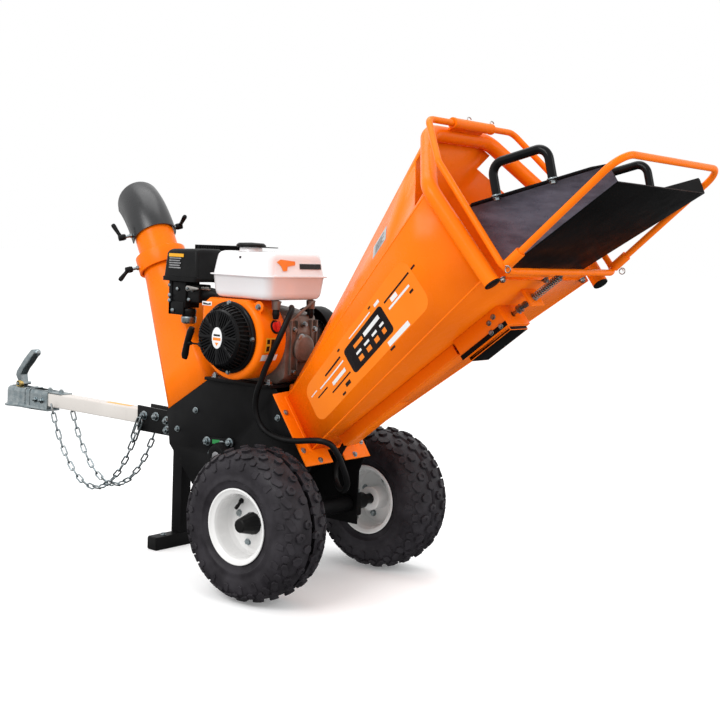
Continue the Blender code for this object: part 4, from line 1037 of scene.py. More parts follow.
def lever():
    """Channel-shaped locking lever of the coupler, bent from sheet."""
    pivot = LEVER_PIVOT
    outline = [(pivot.x + 0.0074 * cos(a), pivot.z + 0.0074 * sin(a))
        for a in (pi + pi * k / 12 for k in range(13))]
    outline += [(-1.188, 0.388), (-1.176, 0.405), (-1.154, 0.425), (-1.14, 0.44), (-1.124, 0.456),
        (-1.128, 0.465), (-1.14, 0.466), (-1.172, 0.438), (-1.21, 0.396), (-1.214, 0.384)]
    rings = upright(round_outline(outline, 0.006, 3), -0.012, 0.012)
    mesh = bevelled_mesh(loft(rings), 0.0018, 3, 50.0)
    add("lever_sheet", mesh, "zinc", "coupler_latch", stands_for=["coupler_lever"])


def tow_bar():
    """Square tube with rounded edges, its top bracket and a plain amber strip."""
    def square(half, x):
        outline = round_outline(rect(-half, half, -half, half), 0.0045, 4)
        return [Vector((x, y, TOW_Z + z)) for y, z in outline]

    half = (TOW_HIGH.z - TOW_LOW.z) / 2
    rings = [square(half, TOW_LOW.x), square(half, TOW_HIGH.x), square(half - 0.003, TOW_HIGH.x),
        square(half - 0.003, TOW_LOW.x)]
    add("tow_tube", loft(rings, closed=True), "cream_paint", stands_for=["tow_bar"])
    low, high = Vector((-1.086, -0.0205, TOW_HIGH.z)), Vector((-0.985, 0.0205, TOW_HIGH.z + 0.003))
    add("tow_top_strap", block(low, high, 0.0008), "zinc")
    strip = block((-0.8, -0.008, TOW_HIGH.z), (-0.7, 0.008, TOW_HIGH.z + 0.0003))
    add("tow_strip", strip, "amber_print")
    spots = [(Vector((x, 0, high.z)), Z) for x in (-1.062, -1.01)]
    fasteners("tow_top_bolts", spots, across=0.013, head=0.006, washer=0.0095, stud=0.003)


# ---------------------------------------------------------------- discharge chute
def hood_frame():
    """Back and up directions of the deflector hood at rest."""
    flat = Vector((cos(radians(27.0)), 0, sin(radians(27.0))))
    turn = Matrix.Rotation(radians(-30.0), 3, CHUTE_AXIS)
    pitch = Matrix.Rotation(radians(-6.0), 3, ACROSS)
    return pitch @ (turn @ flat), pitch @ CHUTE_AXIS


def hood():
    """Curved deflector that is open in front, its lower edge just below the tube's end."""
    back, up = hood_frame()
    tall, curve = 0.125, radians(38.0)

    def section(share, radius, columns=49):
        points = []
        for k in range(columns):
            angle = pi * k / (columns - 1) - pi / 2
            low = -0.016 + 0.006 * cos(angle)
            height = low + (tall - low) * share
            bend = curve * max(height, 0.0) / tall
            reach = tall / curve
            centre = up * (reach * sin(bend) if height > 0 else height)
            centre -= back * (reach * (1 - cos(bend)))
            tilted = back * cos(bend) + up * sin(bend)
            point = HOOD_PIVOT + centre + ACROSS * (radius * sin(angle))
            points.append(point + tilted * (radius * cos(angle)))
        front = -tilted * 0.016
        return [points[0] + front] + points + [points[-1] + front]

    rings = []
    stations = 24
    for k in range(stations):
        share = k / (stations - 1)
        rings.append(section(share, 0.0585) + section(share, 0.0555)[::-1])
    mesh = loft(rings, angle=50.0)
    add("hood_shell", mesh, "hood_coat", "hood", stands_for=["deflector_hood"], slot="black_coat")


def chute_tube():
    """Discharge tube and the deep collar that turns on the neck, with its weld bead."""
    profile = [(0.049, 0.0385), (0.0605, 0.0385), (0.0605, 0.0), (0.067, 0.0), (0.067, 0.043),
        (0.052, 0.043), (0.052, 0.12), (0.049, 0.12), (0.049, 0.0385)]
    mesh = spun(profile, 0.0012, COLLAR, CHUTE_AXIS, 128)
    add("chute_tube", mesh, "orange_coat", "chute_head", stands_for=["chute_upper"])
    ring = [(0.0545 + 0.002 * cos(a), 0.043 + 0.0018 * sin(a)) for a in (2 * pi * k / 10
        for k in range(10))]
    add("collar_weld", turned([(r - 0.0018, h) for r, h in ring], COLLAR, CHUTE_AXIS, 96),
        "orange_coat", "chute_head")


def clamp_lever(name, node, start, corner, tip, body):
    """Adjustable clamp lever: threaded stud, round hub and a tapered handle."""
    stud = (corner - start).normalized()
    handle = (tip - corner).normalized()
    hub_low = start + stud * ((corner - start).length - 0.012)
    parts = [spun([(0.0, 0.0), (0.0072, 0.0), (0.0085, 0.006), (0.008, 0.019), (0.0, 0.02)], 0.0012,
        hub_low, stud, 40)]
    length = (tip - corner).length
    grip = [(0.0, 0.0), (0.0052, 0.0005), (0.0048, length * 0.35), (0.0062, length * 0.85),
        (0.005, length - 0.001), (0.0, length)]
    parts.append(spun(grip, 0.0016, corner, handle, 40))
    add(f"{name}_grip", merged(parts), "black_plastic", body, stands_for=[node])
    stud_parts = [spun(disc(0.004, 0.0, (corner - start).length - 0.01), 0.0004, start, stud, 28),
        hexagon(start, stud, 0.0115, 0.0, 0.005)]
    add(f"{name}_stud", merged(stud_parts), "zinc", body)


def chute_levers():
    back, up = hood_frame()
    for side, word in SIDES:
        stud = ACROSS * side
        start = HOOD_PIVOT + stud * 0.0592
        corner = HOOD_PIVOT + stud * (0.088 if side < 0 else 0.074)
        grip = up * 0.042 + back * 0.004 if side < 0 else back * 0.042 + up * 0.006
        tip = corner + stud * 0.012 + grip
        clamp_lever(f"hood_clamp_{word}", f"hood_lever_{word}", start, corner, tip,
            f"hood_clamp_{word}")
    stud = ACROSS * -1
    start = COLLAR + CHUTE_AXIS * 0.016 + stud * 0.0676
    corner = start + stud * 0.028
    tip = corner + stud * 0.03 - CHUTE_AXIS * 0.024
    clamp_lever("swivel_clamp", "swivel_lever", start, corner, tip, "swivel_clamp")


# ---------------------------------------------------------------- hopper
def mouth_tube():
    """Frame tube round the hopper mouth, with black plugs in its two lower ends."""
    near = [on_mouth(-0.216, -0.006), on_mouth(-0.236, 0.225), on_mouth(-0.11, 0.385)]
    path = both_sides(near)
    route = rounded(path, 0.06, 16)
    turn = MOUTH_OUT
    rings = []
    for radius, points in ((FRAME_TUBE_R, route), (FRAME_TUBE_R - 0.0025, route[::-1])):
        for k, point in enumerate(points):
            ahead = points[min(k + 1, len(points) - 1)] - points[max(k - 1, 0)]
            out = ahead.cross(turn).normalized()
            if radius < FRAME_TUBE_R:
                out = -out
            rings.append(circle(point, out, turn, radius, 40))
    add("mouth_tube", loft(rings, closed=True, angle=50.0), "orange_coat",
        stands_for=["mouth_frame"])
    cap = [(0.0, -0.006), (0.0142, -0.006), (0.0142, 0.0), (0.0168, 0.0002), (0.0168, 0.0028),
        (0.015, 0.004), (0.0, 0.0042)]
    for side, word in SIDES:
        end, bend = (Vector((p.x, side * abs(p.y), p.z)) for p in near[:2])
        mesh = spun(cap, 0.0008, end, end - bend, 56)
        add(f"tube_plug_{word}", mesh, "black_plastic")


def stop_bar():
    """Safety bar, its sleeve with two R-clips, the guard loop and the loop's sockets."""
    near = [SLEEVE - Y * 0.045, SLEEVE - Y * 0.16, on_mouth(-0.221, 0.262, BAR_OFFSET),
        on_mouth(-0.221, -0.008, BAR_OFFSET)]
    path = both_sides(near)
    add("stop_rail", tube(rounded(path, 0.028, 12), BAR_R), "orange_coat", "stop_bar",
        stands_for=["safety_bar"])
    climb = Vector((0.743, 0, 0.67)).normalized()
    foot = Vector((0.632, -0.215, 0.7905))
    near = [foot, foot + climb * 0.306]
    path = both_sides(near)
    add("loop_rail", tube(rounded(path, 0.045, 14), BAR_R), "orange_coat", "stop_bar",
        stands_for=["guard_loop"])
    socket = [(0.0074, -0.006), (0.0105, -0.006), (0.0105, 0.034), (0.0074, 0.034),
        (0.0074, -0.006)]
    for side, word in SIDES:
        base = Vector((foot.x, side * abs(foot.y), foot.z))
        add(f"loop_socket_{word}", spun(socket, 0.0008, base, climb, 48), "orange_coat", "stop_bar")
        clip = []
        for k in range(28):
            angle = 2 * pi * k / 20
            radius = 0.0048 + 0.0001 * k
            clip.append(base + X * 0.008 - Z * 0.006 + Y * side * (0.0125 + 0.0002 * k) + Z
                * (radius * sin(angle) - 0.006) + X * (radius * cos(angle)))
        add(f"loop_clip_{word}", tube(clip, 0.0011, 3), "spring_steel", "stop_bar")
    for k, y in enumerate((-0.019, 0.069)):
        top = SLEEVE + Y * y
        pin = rounded([top + Z * 0.006, top + Z * 0.0175, top + Z * 0.017 + Y * 0.009,
            top + Z * 0.0135 + Y * 0.014], 0.004, 6)
        add(f"sleeve_clip_{k}", tube(pin, 0.0013, 4), "spring_steel")


def sleeve():
    """Pivot sleeve with end beads, and its web on the frame tube."""
    profile = [(0.0076, -0.075), (0.0112, -0.075), (0.012, -0.0735), (0.012, -0.069),
        (0.0112, -0.0675), (0.0112, 0.0675), (0.012, 0.069), (0.012, 0.0735), (0.0112, 0.075),
        (0.0076, 0.075), (0.0076, -0.075)]
    add("sleeve_tube", spun(profile, 0.0005, SLEEVE, Y, 64), "orange_coat",
        stands_for=["bar_sleeve"])

    def corner(a, b, c):
        return on_mouth(a, 0.383 + b, FRAME_TUBE_R + 0.0006 + c)

    web = slanted_block(corner, ((-0.06, 0.06), (-0.003, 0.003),
        (0.0, BAR_OFFSET - FRAME_TUBE_R - 0.01)), 0.001)
    add("sleeve_web", web, "orange_coat")


def hopper_screws():
    """Screws of the hopper flange, the side walls and the mouth."""
    spots = [(on_flange(side * y, up, FLANGE_T), FLANGE_OUT) for side in (-1, 1)
        for y, up in ((0.1045, 0.1407), (0.063, 0.01))]
    spots += [(on_flange(side * 0.1045, 0.04, FLANGE_T), FLANGE_OUT) for side in (-1, 1)]
    fasteners("flange_screws", spots, across=0.009, head=0.0035, washer=0.0072)
    for side, word in SIDES:
        wall = Vector((-0.1, side, 0.08)).normalized()
        at = Vector((0.5036, side * 0.2295, 0.863))
        parts = [spun(disc(0.0085, -0.001, 0.0012), 0.0004, at, wall, 32),
            hexagon(at, wall, 0.0125, 0.0012, 0.0065), dome(at + wall * 0.006, wall, 0.0056, 0.006)]
        add(f"wall_nut_{word}", merged(parts), "zinc")
    spots = [(under_floor(0.653, y, 0.0004), FLOOR_DOWN) for y in (-0.15, 0.015, 0.17)]
    fasteners("mouth_bolts", spots, across=0.011, head=0.006, washer=0.0085, stud=0.002)


def flange_folds():
    """Short folded side strips where the hopper flange meets the funnel."""
    for side, word in SIDES:
        line = [on_flange(side * 0.0835, 0.182, FLANGE_T), on_flange(side * 0.0825, 0.032,
            FLANGE_T)]
        add(f"flange_fold_{word}", tube(line, 0.0018, 4), "orange_coat")


def hopper_seams():
    """Rolled seam beads along the folds of the funnel."""
    corners = {"low": ((0.0755, 0.0385), (0.211, 0.014)), "high": ((0.073, 0.184), (0.236, 0.222)),
        "ridge": ((0.04, 0.2035), (0.108, 0.38))}
    for side, word in SIDES:
        for place, (throat, mouth) in corners.items():
            start = on_flange(side * (throat[0] - 0.0014), throat[1], FLANGE_T + 0.0006)
            end = on_mouth(side * (mouth[0] - 0.0014), mouth[1], -FRAME_TUBE_R - 0.0014)
            inward = FLANGE_UP * (0.001 if place == "low" else -0.001)
            add(f"seam_{place}_{word}", tube([start + inward, end + inward], 0.0019, 5),
                "orange_coat")


def wall_point(side, share_along, share_up):
    """A point of the hopper's side wall: along from throat to mouth, up from fold to fold."""
    low = on_flange(side * 0.0755, 0.0385, FLANGE_T).lerp(on_mouth(side * 0.211, 0.014,
        -FRAME_TUBE_R), share_along)
    high = on_flange(side * 0.073, 0.184, FLANGE_T).lerp(on_mouth(side * 0.236, 0.222,
        -FRAME_TUBE_R), share_along)
    return low.lerp(high, share_up)


def hopper_skin():
    """The hopper's walls, to lay printed films on."""
    node = NODES["hopper_body"]
    points = [node.matrix_world @ v.co - SHIFT for v in node.data.vertices]
    return BVHTree.FromPolygons(points, [tuple(p.vertices) for p in node.data.polygons])


SKIN = hopper_skin()
FILM_CELL = 0.03


def film(name, outline, place, outward, lift, look, slot="orange_coat"):
    """A thin printed film laid on the hopper; place maps (u, v) shares to a point near it."""
    work = bmesh.new()
    work.faces.new([work.verts.new((u, v, 0.0)) for u, v in outline])
    for axis, values in enumerate(zip(*outline)):
        at = (int(min(values) / FILM_CELL) + 1) * FILM_CELL
        while at < max(values):
            point, normal = Vector((0, 0, 0)), Vector((0, 0, 0))
            point[axis], normal[axis] = at, 1.0
            geometry = work.verts[:] + work.edges[:] + work.faces[:]
            bmesh.ops.bisect_plane(work, geom=geometry, plane_co=point, plane_no=normal, dist=1e-6)
            at += FILM_CELL
    for vertex in work.verts:
        guess = place(vertex.co.x, vertex.co.y) + outward * 0.004
        spot, normal = SKIN.find_nearest(guess)[:2]
        if normal.dot(outward) < 0:
            normal = -normal
        vertex.co = spot + normal * lift
    bmesh.ops.recalc_face_normals(work, faces=work.faces)
    if sum(face.normal.dot(outward) for face in work.faces) < 0:
        bmesh.ops.reverse_faces(work, faces=work.faces)
    return add(name, mesh_of(work), look, slot=slot)


def wall_patch(name, side, outline, lift, look):
    """A film on a side wall; the outline is in wall shares."""
    return film(name, outline, lambda u, v: wall_point(side, u, v), Vector((-0.1, side, 0.1)), lift,
        look)


def rounded_rect(u0, u1, v0, v1, radius, ratio=3.2):
    """A rectangle in wall shares, with corners that look round on the wall."""
    flat = [(u * ratio, v) for u, v in rect(u0, u1, v0, v1)]
    return [(u / ratio, v) for u, v in round_outline(flat, radius)]


LABEL_BARS = [("orange_print", 0.42, 0.475, 0.555, 0.6), ("white_print", 0.485, 0.585, 0.555,
    0.605), ("white_print", 0.415, 0.445, 0.47, 0.5), ("white_print", 0.465, 0.495, 0.47, 0.5),
    ("white_print", 0.515, 0.545, 0.47, 0.5), ("white_print", 0.565, 0.59, 0.47, 0.5),
    ("orange_print", 0.415, 0.44, 0.375, 0.435), ("orange_print", 0.465, 0.49, 0.375, 0.435),
    ("orange_print", 0.515, 0.54, 0.375, 0.435), ("orange_print", 0.565, 0.585, 0.375, 0.435)]
LABEL_DASHES = [("black_print", 0.635, 0.785, 0.62, 0.64), ("white_print", 0.64, 0.76, 0.52, 0.545),
    ("white_print", 0.665, 0.7, 0.56, 0.61), ("black_print", 0.8, 0.822, 0.62, 0.64),
    ("black_print", 0.745, 0.765, 0.455, 0.48), ("white_print", 0.56, 0.68, 0.215, 0.275),
    ("black_print", 0.555, 0.58, 0.165, 0.19), ("white_print", 0.59, 0.62, 0.69, 0.725),
    ("white_print", 0.44, 0.56, 0.7, 0.715), ("white_print", 0.42, 0.44, 0.7, 0.715),
    ("black_print", 0.56, 0.575, 0.74, 0.76), ("black_print", 0.225, 0.35, 0.38, 0.4),
    ("white_print", 0.18, 0.345, 0.57, 0.59), ("black_print", 0.23, 0.34, 0.64, 0.665),
    ("black_print", 0.15, 0.215, 0.5, 0.52), ("white_print", 0.245, 0.335, 0.45, 0.5),
    ("black_print", 0.3, 0.33, 0.28, 0.33), ("black_print", 0.265, 0.285, 0.23, 0.26),
    ("white_print", 0.12, 0.16, 0.6, 0.615), ("black_print", 0.34, 0.355, 0.72, 0.745)]


def hopper_labels():
    """Plain dark panel with coloured bars and dashes round it, no lettering."""
    for side, word in SIDES:
        wall_patch(f"label_film_{word}", side, rounded_rect(0.1, 0.8, 0.2, 0.8, 0.14), 0.0004,
            "faint_print")
        wall_patch(f"label_panel_{word}", side, rounded_rect(0.365, 0.615, 0.315, 0.665, 0.05),
            0.0007, "black_print")
        for name, table, lift in (("label_bar", LABEL_BARS, 0.001), ("dash", LABEL_DASHES, 0.0008)):
            for k, (look, *edges) in enumerate(table):
                wall_patch(f"{name}_{word}_{k}", side, rect(*edges), lift, look)


def rating_plate():
    """Small blank foil plate with ruled lines on the near upper corner wall."""
    fold_a, fold_b = on_flange(-0.073, 0.184, FLANGE_T), on_mouth(-0.236, 0.222, -FRAME_TUBE_R)
    ridge_a, ridge_b = on_flange(-0.04, 0.2035, FLANGE_T), on_mouth(-0.108, 0.38, -FRAME_TUBE_R)

    def point(u, v):
        return fold_a.lerp(fold_b, u).lerp(ridge_a.lerp(ridge_b, u), v)

    def patch(name, u0, u1, v0, v1, lift, look):
        film(name, rect(u0, u1, v0, v1), point, Vector((-0.4, -0.6, 0.7)), lift, look, "zinc")

    patch("rating_plate", 0.655, 0.745, 0.3, 0.6, 0.0006, "foil")
    for k in range(5):
        v = 0.345 + 0.045 * k
        patch(f"rating_line_{k}", 0.67, 0.73 - 0.012 * (k % 2), v, v + 0.014, 0.0009, "black_print")


# ---------------------------------------------------------------- stop linkage under the hopper
ROD_DOWN = 0.0225


def stop_linkage():
    """Push rod with its nuts, a coiled return spring, box screws and the black box cover."""
    rod = disc(0.004, 0.535, 0.6976)
    base = under_floor(0, 0, ROD_DOWN)
    parts = [spun(rod, 0.0006, base, FLOOR_ALONG, 32)]
    for low, high, across in ((0.572, 0.5775, 0.015), (0.586, 0.591, 0.012), (0.591, 0.596, 0.012)):
        parts.append(hexagon(base, FLOOR_ALONG, across, low, high))

    def washer(at, radius):
        profile = disc(radius, at, at + 0.0014)
        return spun(profile, 0.0004, base, FLOOR_ALONG, 36)

    parts += [washer(at, radius) for at, radius in ((0.57, 0.0095), (0.5785, 0.0095),
        (0.69, 0.009))]
    add("spring_seat", washer(0.6175, 0.0088), "zinc")
    add("stop_plunger", merged(parts), "zinc", "stop_rod", stands_for=["push_rod"])
    side, up = basis(FLOOR_ALONG)
    turns, steps, start, end = 13, 20, 0.6196, 0.689
    coil = []
    for k in range(turns * steps + 1):
        angle = 2 * pi * k / steps
        coil.append(base + FLOOR_ALONG * (start + (end - start) * k / (turns * steps))
            + (side * cos(angle) + up * sin(angle)) * 0.0073)
    spring = add("spring_coils", round_bar(coil, 0.0011), "spring_steel", None,
        stands_for=["return_spring"])
    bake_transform(spring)
    spots = [(under_floor(along, -0.0452, down), -Y) for along, down in ((0.535, 0.015),
        (0.519, 0.02), (0.513, 0.04), (0.54, 0.042))]
    fasteners("box_screws", spots, across=0.008, head=0.004, washer=0.0062)
    cover = slanted_block(under_floor, ((0.428, 0.55), (-0.034, 0.034), (0.0478, 0.0582)), 0.0015)
    add("box_cover", cover, "black_coat")
    skirt = slanted_block(under_floor, ((0.419, 0.556), (-0.0462, -0.0452), (0.038, 0.049)), 0.0004)
    add("box_skirt", skirt, "black_coat")


def channel():
    """Folded cable channel with its stiffening step and the cable that leaves it."""
    for k, (start, end) in enumerate(((0.014, 0.205), (0.21, 0.405))):
        rib = slanted_block(under_floor, ((start, end), (-0.0245, 0.0145), (0.0262, 0.027)), 0.0003)
        add(f"channel_rib_{k}", rib, "orange_coat")
    cable = [under_floor(along, -0.004, down) for along, down in ((0.395, 0.012), (0.409, 0.014),
        (0.4195, 0.02))]
    add("switch_lead", tube(smooth_route(cable, 16), 0.0032), "black_plastic")


# ---------------------------------------------------------------- feed tray
TRAY_SLOPE = Vector((0.28, 0, 0.074)).normalized()


def feed_tray():
    """Folded sheet tray with rounded folds in satin black; its walls carry violet-grey sheets of
    painted sheen.
    """
    inner = [(0.537, 0.2115, 0.9025), (0.517, 0.19, 0.8972), (0.585, 0.15, 0.7775)]
    outer = [(0.795, 0.2115, 0.9707), (0.821, 0.1945, 0.9776), (0.838, 0.188, 0.9465)]
    rows = []
    for row in (inner, outer):
        near = [Vector((x, -y, z)) for x, y, z in row]
        rows.append(rounded(both_sides(near), 0.0045, 5))
    steps = 12
    grid = [[a.lerp(b, k / steps) for a, b in zip(*rows)] for k in range(steps + 1)]
    tray_sheet("tray_inside", grid, 0.00065, 0.0006, "black_coat", ["feed_tray"])
    tray_sheet("tray_outside", grid, -0.00065, 0.0006, "black_coat")
    # The wall sheets are painted sheen: violet-grey paint on the black walls stands for their
    # reflection.
    for word, first in (("near", 4), ("far", 16)):
        wall = [row[first:first + 6] for row in grid]
        tray_sheet(f"tray_wall_{word}", wall, -0.0015, 0.0002, "tray_sheen_coat")


def tray_sheet(name, grid, shift, half, look, stands_for=()):
    """One skin of the tray: the grid moved along its normal and given a thickness."""
    rows, count = len(grid), len(grid[0])
    work = bmesh.new()
    made = [work.verts.new(p) for row in grid for p in row]
    for r in range(rows - 1):
        for i in range(r * count, r * count + count - 1):
            work.faces.new((made[i], made[i + 1], made[i + count + 1], made[i + count]))
    bmesh.ops.recalc_face_normals(work, faces=work.faces)
    if sum(face.normal.z for face in work.faces) < 0:
        bmesh.ops.reverse_faces(work, faces=work.faces)
    work.normal_update()
    top = [work.verts.new(v.co + v.normal * (shift + half)) for v in made]
    low = [work.verts.new(v.co + v.normal * (shift - half)) for v in made]
    for r in range(rows - 1):
        for i in range(r * count, r * count + count - 1):
            quad = (i, i + 1, i + count + 1, i + count)
            work.faces.new([top[k] for k in quad])
            work.faces.new([low[k] for k in quad[::-1]])
    loop = list(range(count)) + [r * count + count - 1 for r in range(1, rows)]
    loop += [(rows - 1) * count + i for i in range(count - 2, -1, -1)]
    loop += [r * count for r in range(rows - 2, 0, -1)]
    for a, b in zip(loop, loop[1:] + loop[:1]):
        work.faces.new((top[a], top[b], low[b], low[a]))
    bmesh.ops.delete(work, geom=made, context="VERTS")
    bmesh.ops.recalc_face_normals(work, faces=work.faces)
    add(name, mesh_of(work), look, "tray", stands_for, "black_coat")


def tray_handles():
    """Bent tube handles with a bolt at each foot."""
    rise = Vector((-TRAY_SLOPE.z, 0, TRAY_SLOPE.x))
    for side, word in SIDES:
        first = Vector((0.59, side * 0.203, 0.9165)) + rise * 0.0025
        second = first + TRAY_SLOPE * 0.126
        path = [first, first + rise * 0.062, second + rise * 0.062, second]
        add(f"handle_{word}", tube(rounded(path, 0.024, 12), 0.009, 8), "gloss_black", "tray",
            stands_for=[f"tray_handle_{word}"], slot="black_plastic")
        spots = [(foot - rise * 0.004, -rise) for foot in (first, second)]
        fasteners(f"handle_bolts_{word}", spots, "tray", across=0.012, head=0.005, washer=0.009)
        rings = [spun([(0.0085, -0.0022), (0.0112, -0.0022), (0.0112, 0.001), (0.0085, 0.001),
            (0.0085, -0.0022)], 0.0004, foot, rise, 36) for foot in (first, second)]
        add(f"handle_rings_{word}", merged(rings), "zinc", "tray")
    box = box_of("feed_tray")
    hinge = disc(0.0042, box[0].y + 0.066, box[1].y - 0.066)
    at = Vector((TRAY_HINGE.x, 0, TRAY_HINGE.z - 0.006))
    add("tray_hinge_pin", spun(hinge, 0.0008, at, Y, 28), "orange_coat", "tray")


# ---------------------------------------------------------------- engine
FAN_R = 0.101
FAN_FRONT = 0.163
RECOIL_FACE = 0.2065


def crankcase():
    """Finned cylinder, crankcase with its ribs and cover bolts, and the two oil plugs."""
    outline = [(-0.262, 0.475), (-0.088, 0.475), (-0.064, 0.492), (-0.06, 0.6), (-0.07, 0.64),
        (-0.13, 0.652), (-0.215, 0.66), (-0.262, 0.64), (-0.29, 0.6), (-0.262, 0.545)]
    rings = upright(round_outline(outline, 0.01, 4), -0.079, 0.03)
    parts = [bevelled_mesh(loft(rings), 0.003, 2, 50.0)]
    for y in (-0.066, -0.044, 0.006, 0.024):
        parts.append(block((-0.07, y, 0.498), (-0.0565, y + 0.0035, 0.628), 0.0012))
    lean = Vector((-0.905, 0, 0.425)).normalized()
    up = Vector((0.425, 0, 0.905)).normalized()
    base = Vector((-0.235, 0.003, 0.611))
    for k in range(9):
        at = base + lean * (0.012 + 0.0098 * k)

        def corner(a, b, c, at=at):
            return at + lean * a + up * b + Y * c

        parts.append(slanted_block(corner, ((0.0, 0.0034), (-0.047, 0.05), (-0.072, 0.076)),
            0.0008))

    def core(a, b, c):
        return base + lean * a + up * b + Y * c

    parts.append(slanted_block(core, ((0.0, 0.108), (-0.036, 0.04), (-0.058, 0.062)), 0.006))
    add("engine_casting", merged(parts), "cast_aluminium", stands_for=["engine_block"])
    spots = [(Vector((-0.0598, y, z)), X) for y, z in ((-0.054, 0.505), (0.018, 0.505),
        (-0.054, 0.606), (0.018, 0.606), (-0.018, 0.618))]
    fasteners("case_bolts", spots, across=0.01, head=0.006, washer=0.0075)
    plugs = [spun([(0.0, 0.0), (0.012, 0.0), (0.012, 0.007), (0.009, 0.0085), (0.0, 0.009)], 0.001,
        Vector((-0.06, y, z)), X, 28) for y, z in ((-0.032, 0.585), (0.004, 0.54))]
    add("oil_plugs", merged(plugs), "zinc")
    boss = [(0.0, 0.0), (0.034, 0.0), (0.035, 0.006), (0.028, 0.011), (0.0, 0.012)]
    add("case_boss", spun(boss, 0.002, Vector((-0.061, -0.02, 0.56)), X, 56), "cast_aluminium")


def fan_cowl():
    """Pressed blower housing with a square upper corner, a rolled front edge and its lug."""
    def outline(inset, steps=56):
        points = []
        radius = FAN_R - inset
        for k in range(steps + 1):
            angle = pi * 0.985 + 1.37 * pi * k / steps
            points.append(Vector((CRANK.x + radius * cos(angle), 0, CRANK.z + radius * sin(angle))))
        points.append(Vector((CRANK.x - 0.08 + inset, 0, 0.6745 - inset)))
        points.append(Vector((CRANK.x - 0.1 + inset, 0, 0.66 - inset)))
        return points

    def ring(inset, y):
        return [p + Y * y for p in outline(inset)]

    rings = [ring(0.0, -0.0793), ring(0.0, -0.148)]
    for k in range(1, 7):
        turn = pi / 2 * k / 6
        rings.append(ring(0.012 * (1 - cos(turn)), -0.151 - 0.012 * sin(turn)))
    rings += [ring(0.017, -FAN_FRONT), ring(0.017, -FAN_FRONT + 0.003), ring(0.004, -0.148),
        ring(0.003, -0.0793)]
    front = [ring(0.0165, -FAN_FRONT + 0.0001), ring(0.0165, -FAN_FRONT + 0.003)]
    add("fan_cowl", merged([loft(rings, closed=True, angle=45.0), loft(front)], 45.0),
        "orange_coat", stands_for=["fan_housing"])
    lug_at = Vector((-0.086, -0.148, 0.66))
    lug = [spun([(0.0, 0.0), (0.0135, 0.0), (0.0135, 0.004), (0.0, 0.0042)], 0.001,
        lug_at + Y * 0.002, -Y, 36)]
    lug.append(block((-0.104, -0.1495, 0.64), (-0.08, -0.1465, 0.668), 0.0008))
    add("cowl_lug", merged(lug), "orange_coat")
    fasteners("cowl_lug_bolt", [(lug_at - Y * 0.0022, -Y)], across=0.01, head=0.005, washer=0.0075)
    badge = plate(rect(-0.26, -0.228, 0.6545, 0.664), (0, -FAN_FRONT, 0), X, Z, 0.0006, 0.0001)
    add("tool_badge", badge, "white_print")
    inner = plate([(-0.257, 0.6568), (-0.242, 0.656), (-0.231, 0.6568), (-0.231, 0.6617),
        (-0.24, 0.659), (-0.257, 0.6617)], (0, -FAN_FRONT - 0.0006, 0), X, Z, 0.0003)
    add("tool_mark", inner, "black_print")
    for name, y0, y1, a0, a1, look in (("cowl_label_a", -0.146, -0.115, -17.0, 3.0, "amber_print"),
            ("cowl_label_b", -0.152, -0.1, -29.0, -20.0, "white_print"),
            ("cowl_label_c", -0.143, -0.133, -15.0, -8.0, "black_print"),
            ("cowl_label_d", -0.143, -0.133, -5.0, 1.0, "black_print"),
            ("cowl_label_e", -0.129, -0.118, -15.0, 1.0, "black_print")):
        lift = 0.0006 if look == "black_print" else 0.0004
        steps = 8
        rings = []
        for radius in (FAN_R + 0.0001, FAN_R + lift):
            arc = [radians(a0 + (a1 - a0) * k / steps) for k in range(steps + 1)]
            rings.append([CRANK + Vector((radius * cos(a), y0 - CRANK.y, radius * sin(a)))
                for a in arc] + [CRANK + Vector((radius * cos(a), y1 - CRANK.y, radius * sin(a)))
                for a in reversed(arc)])
        add(name, loft(rings), look, slot="orange_coat")


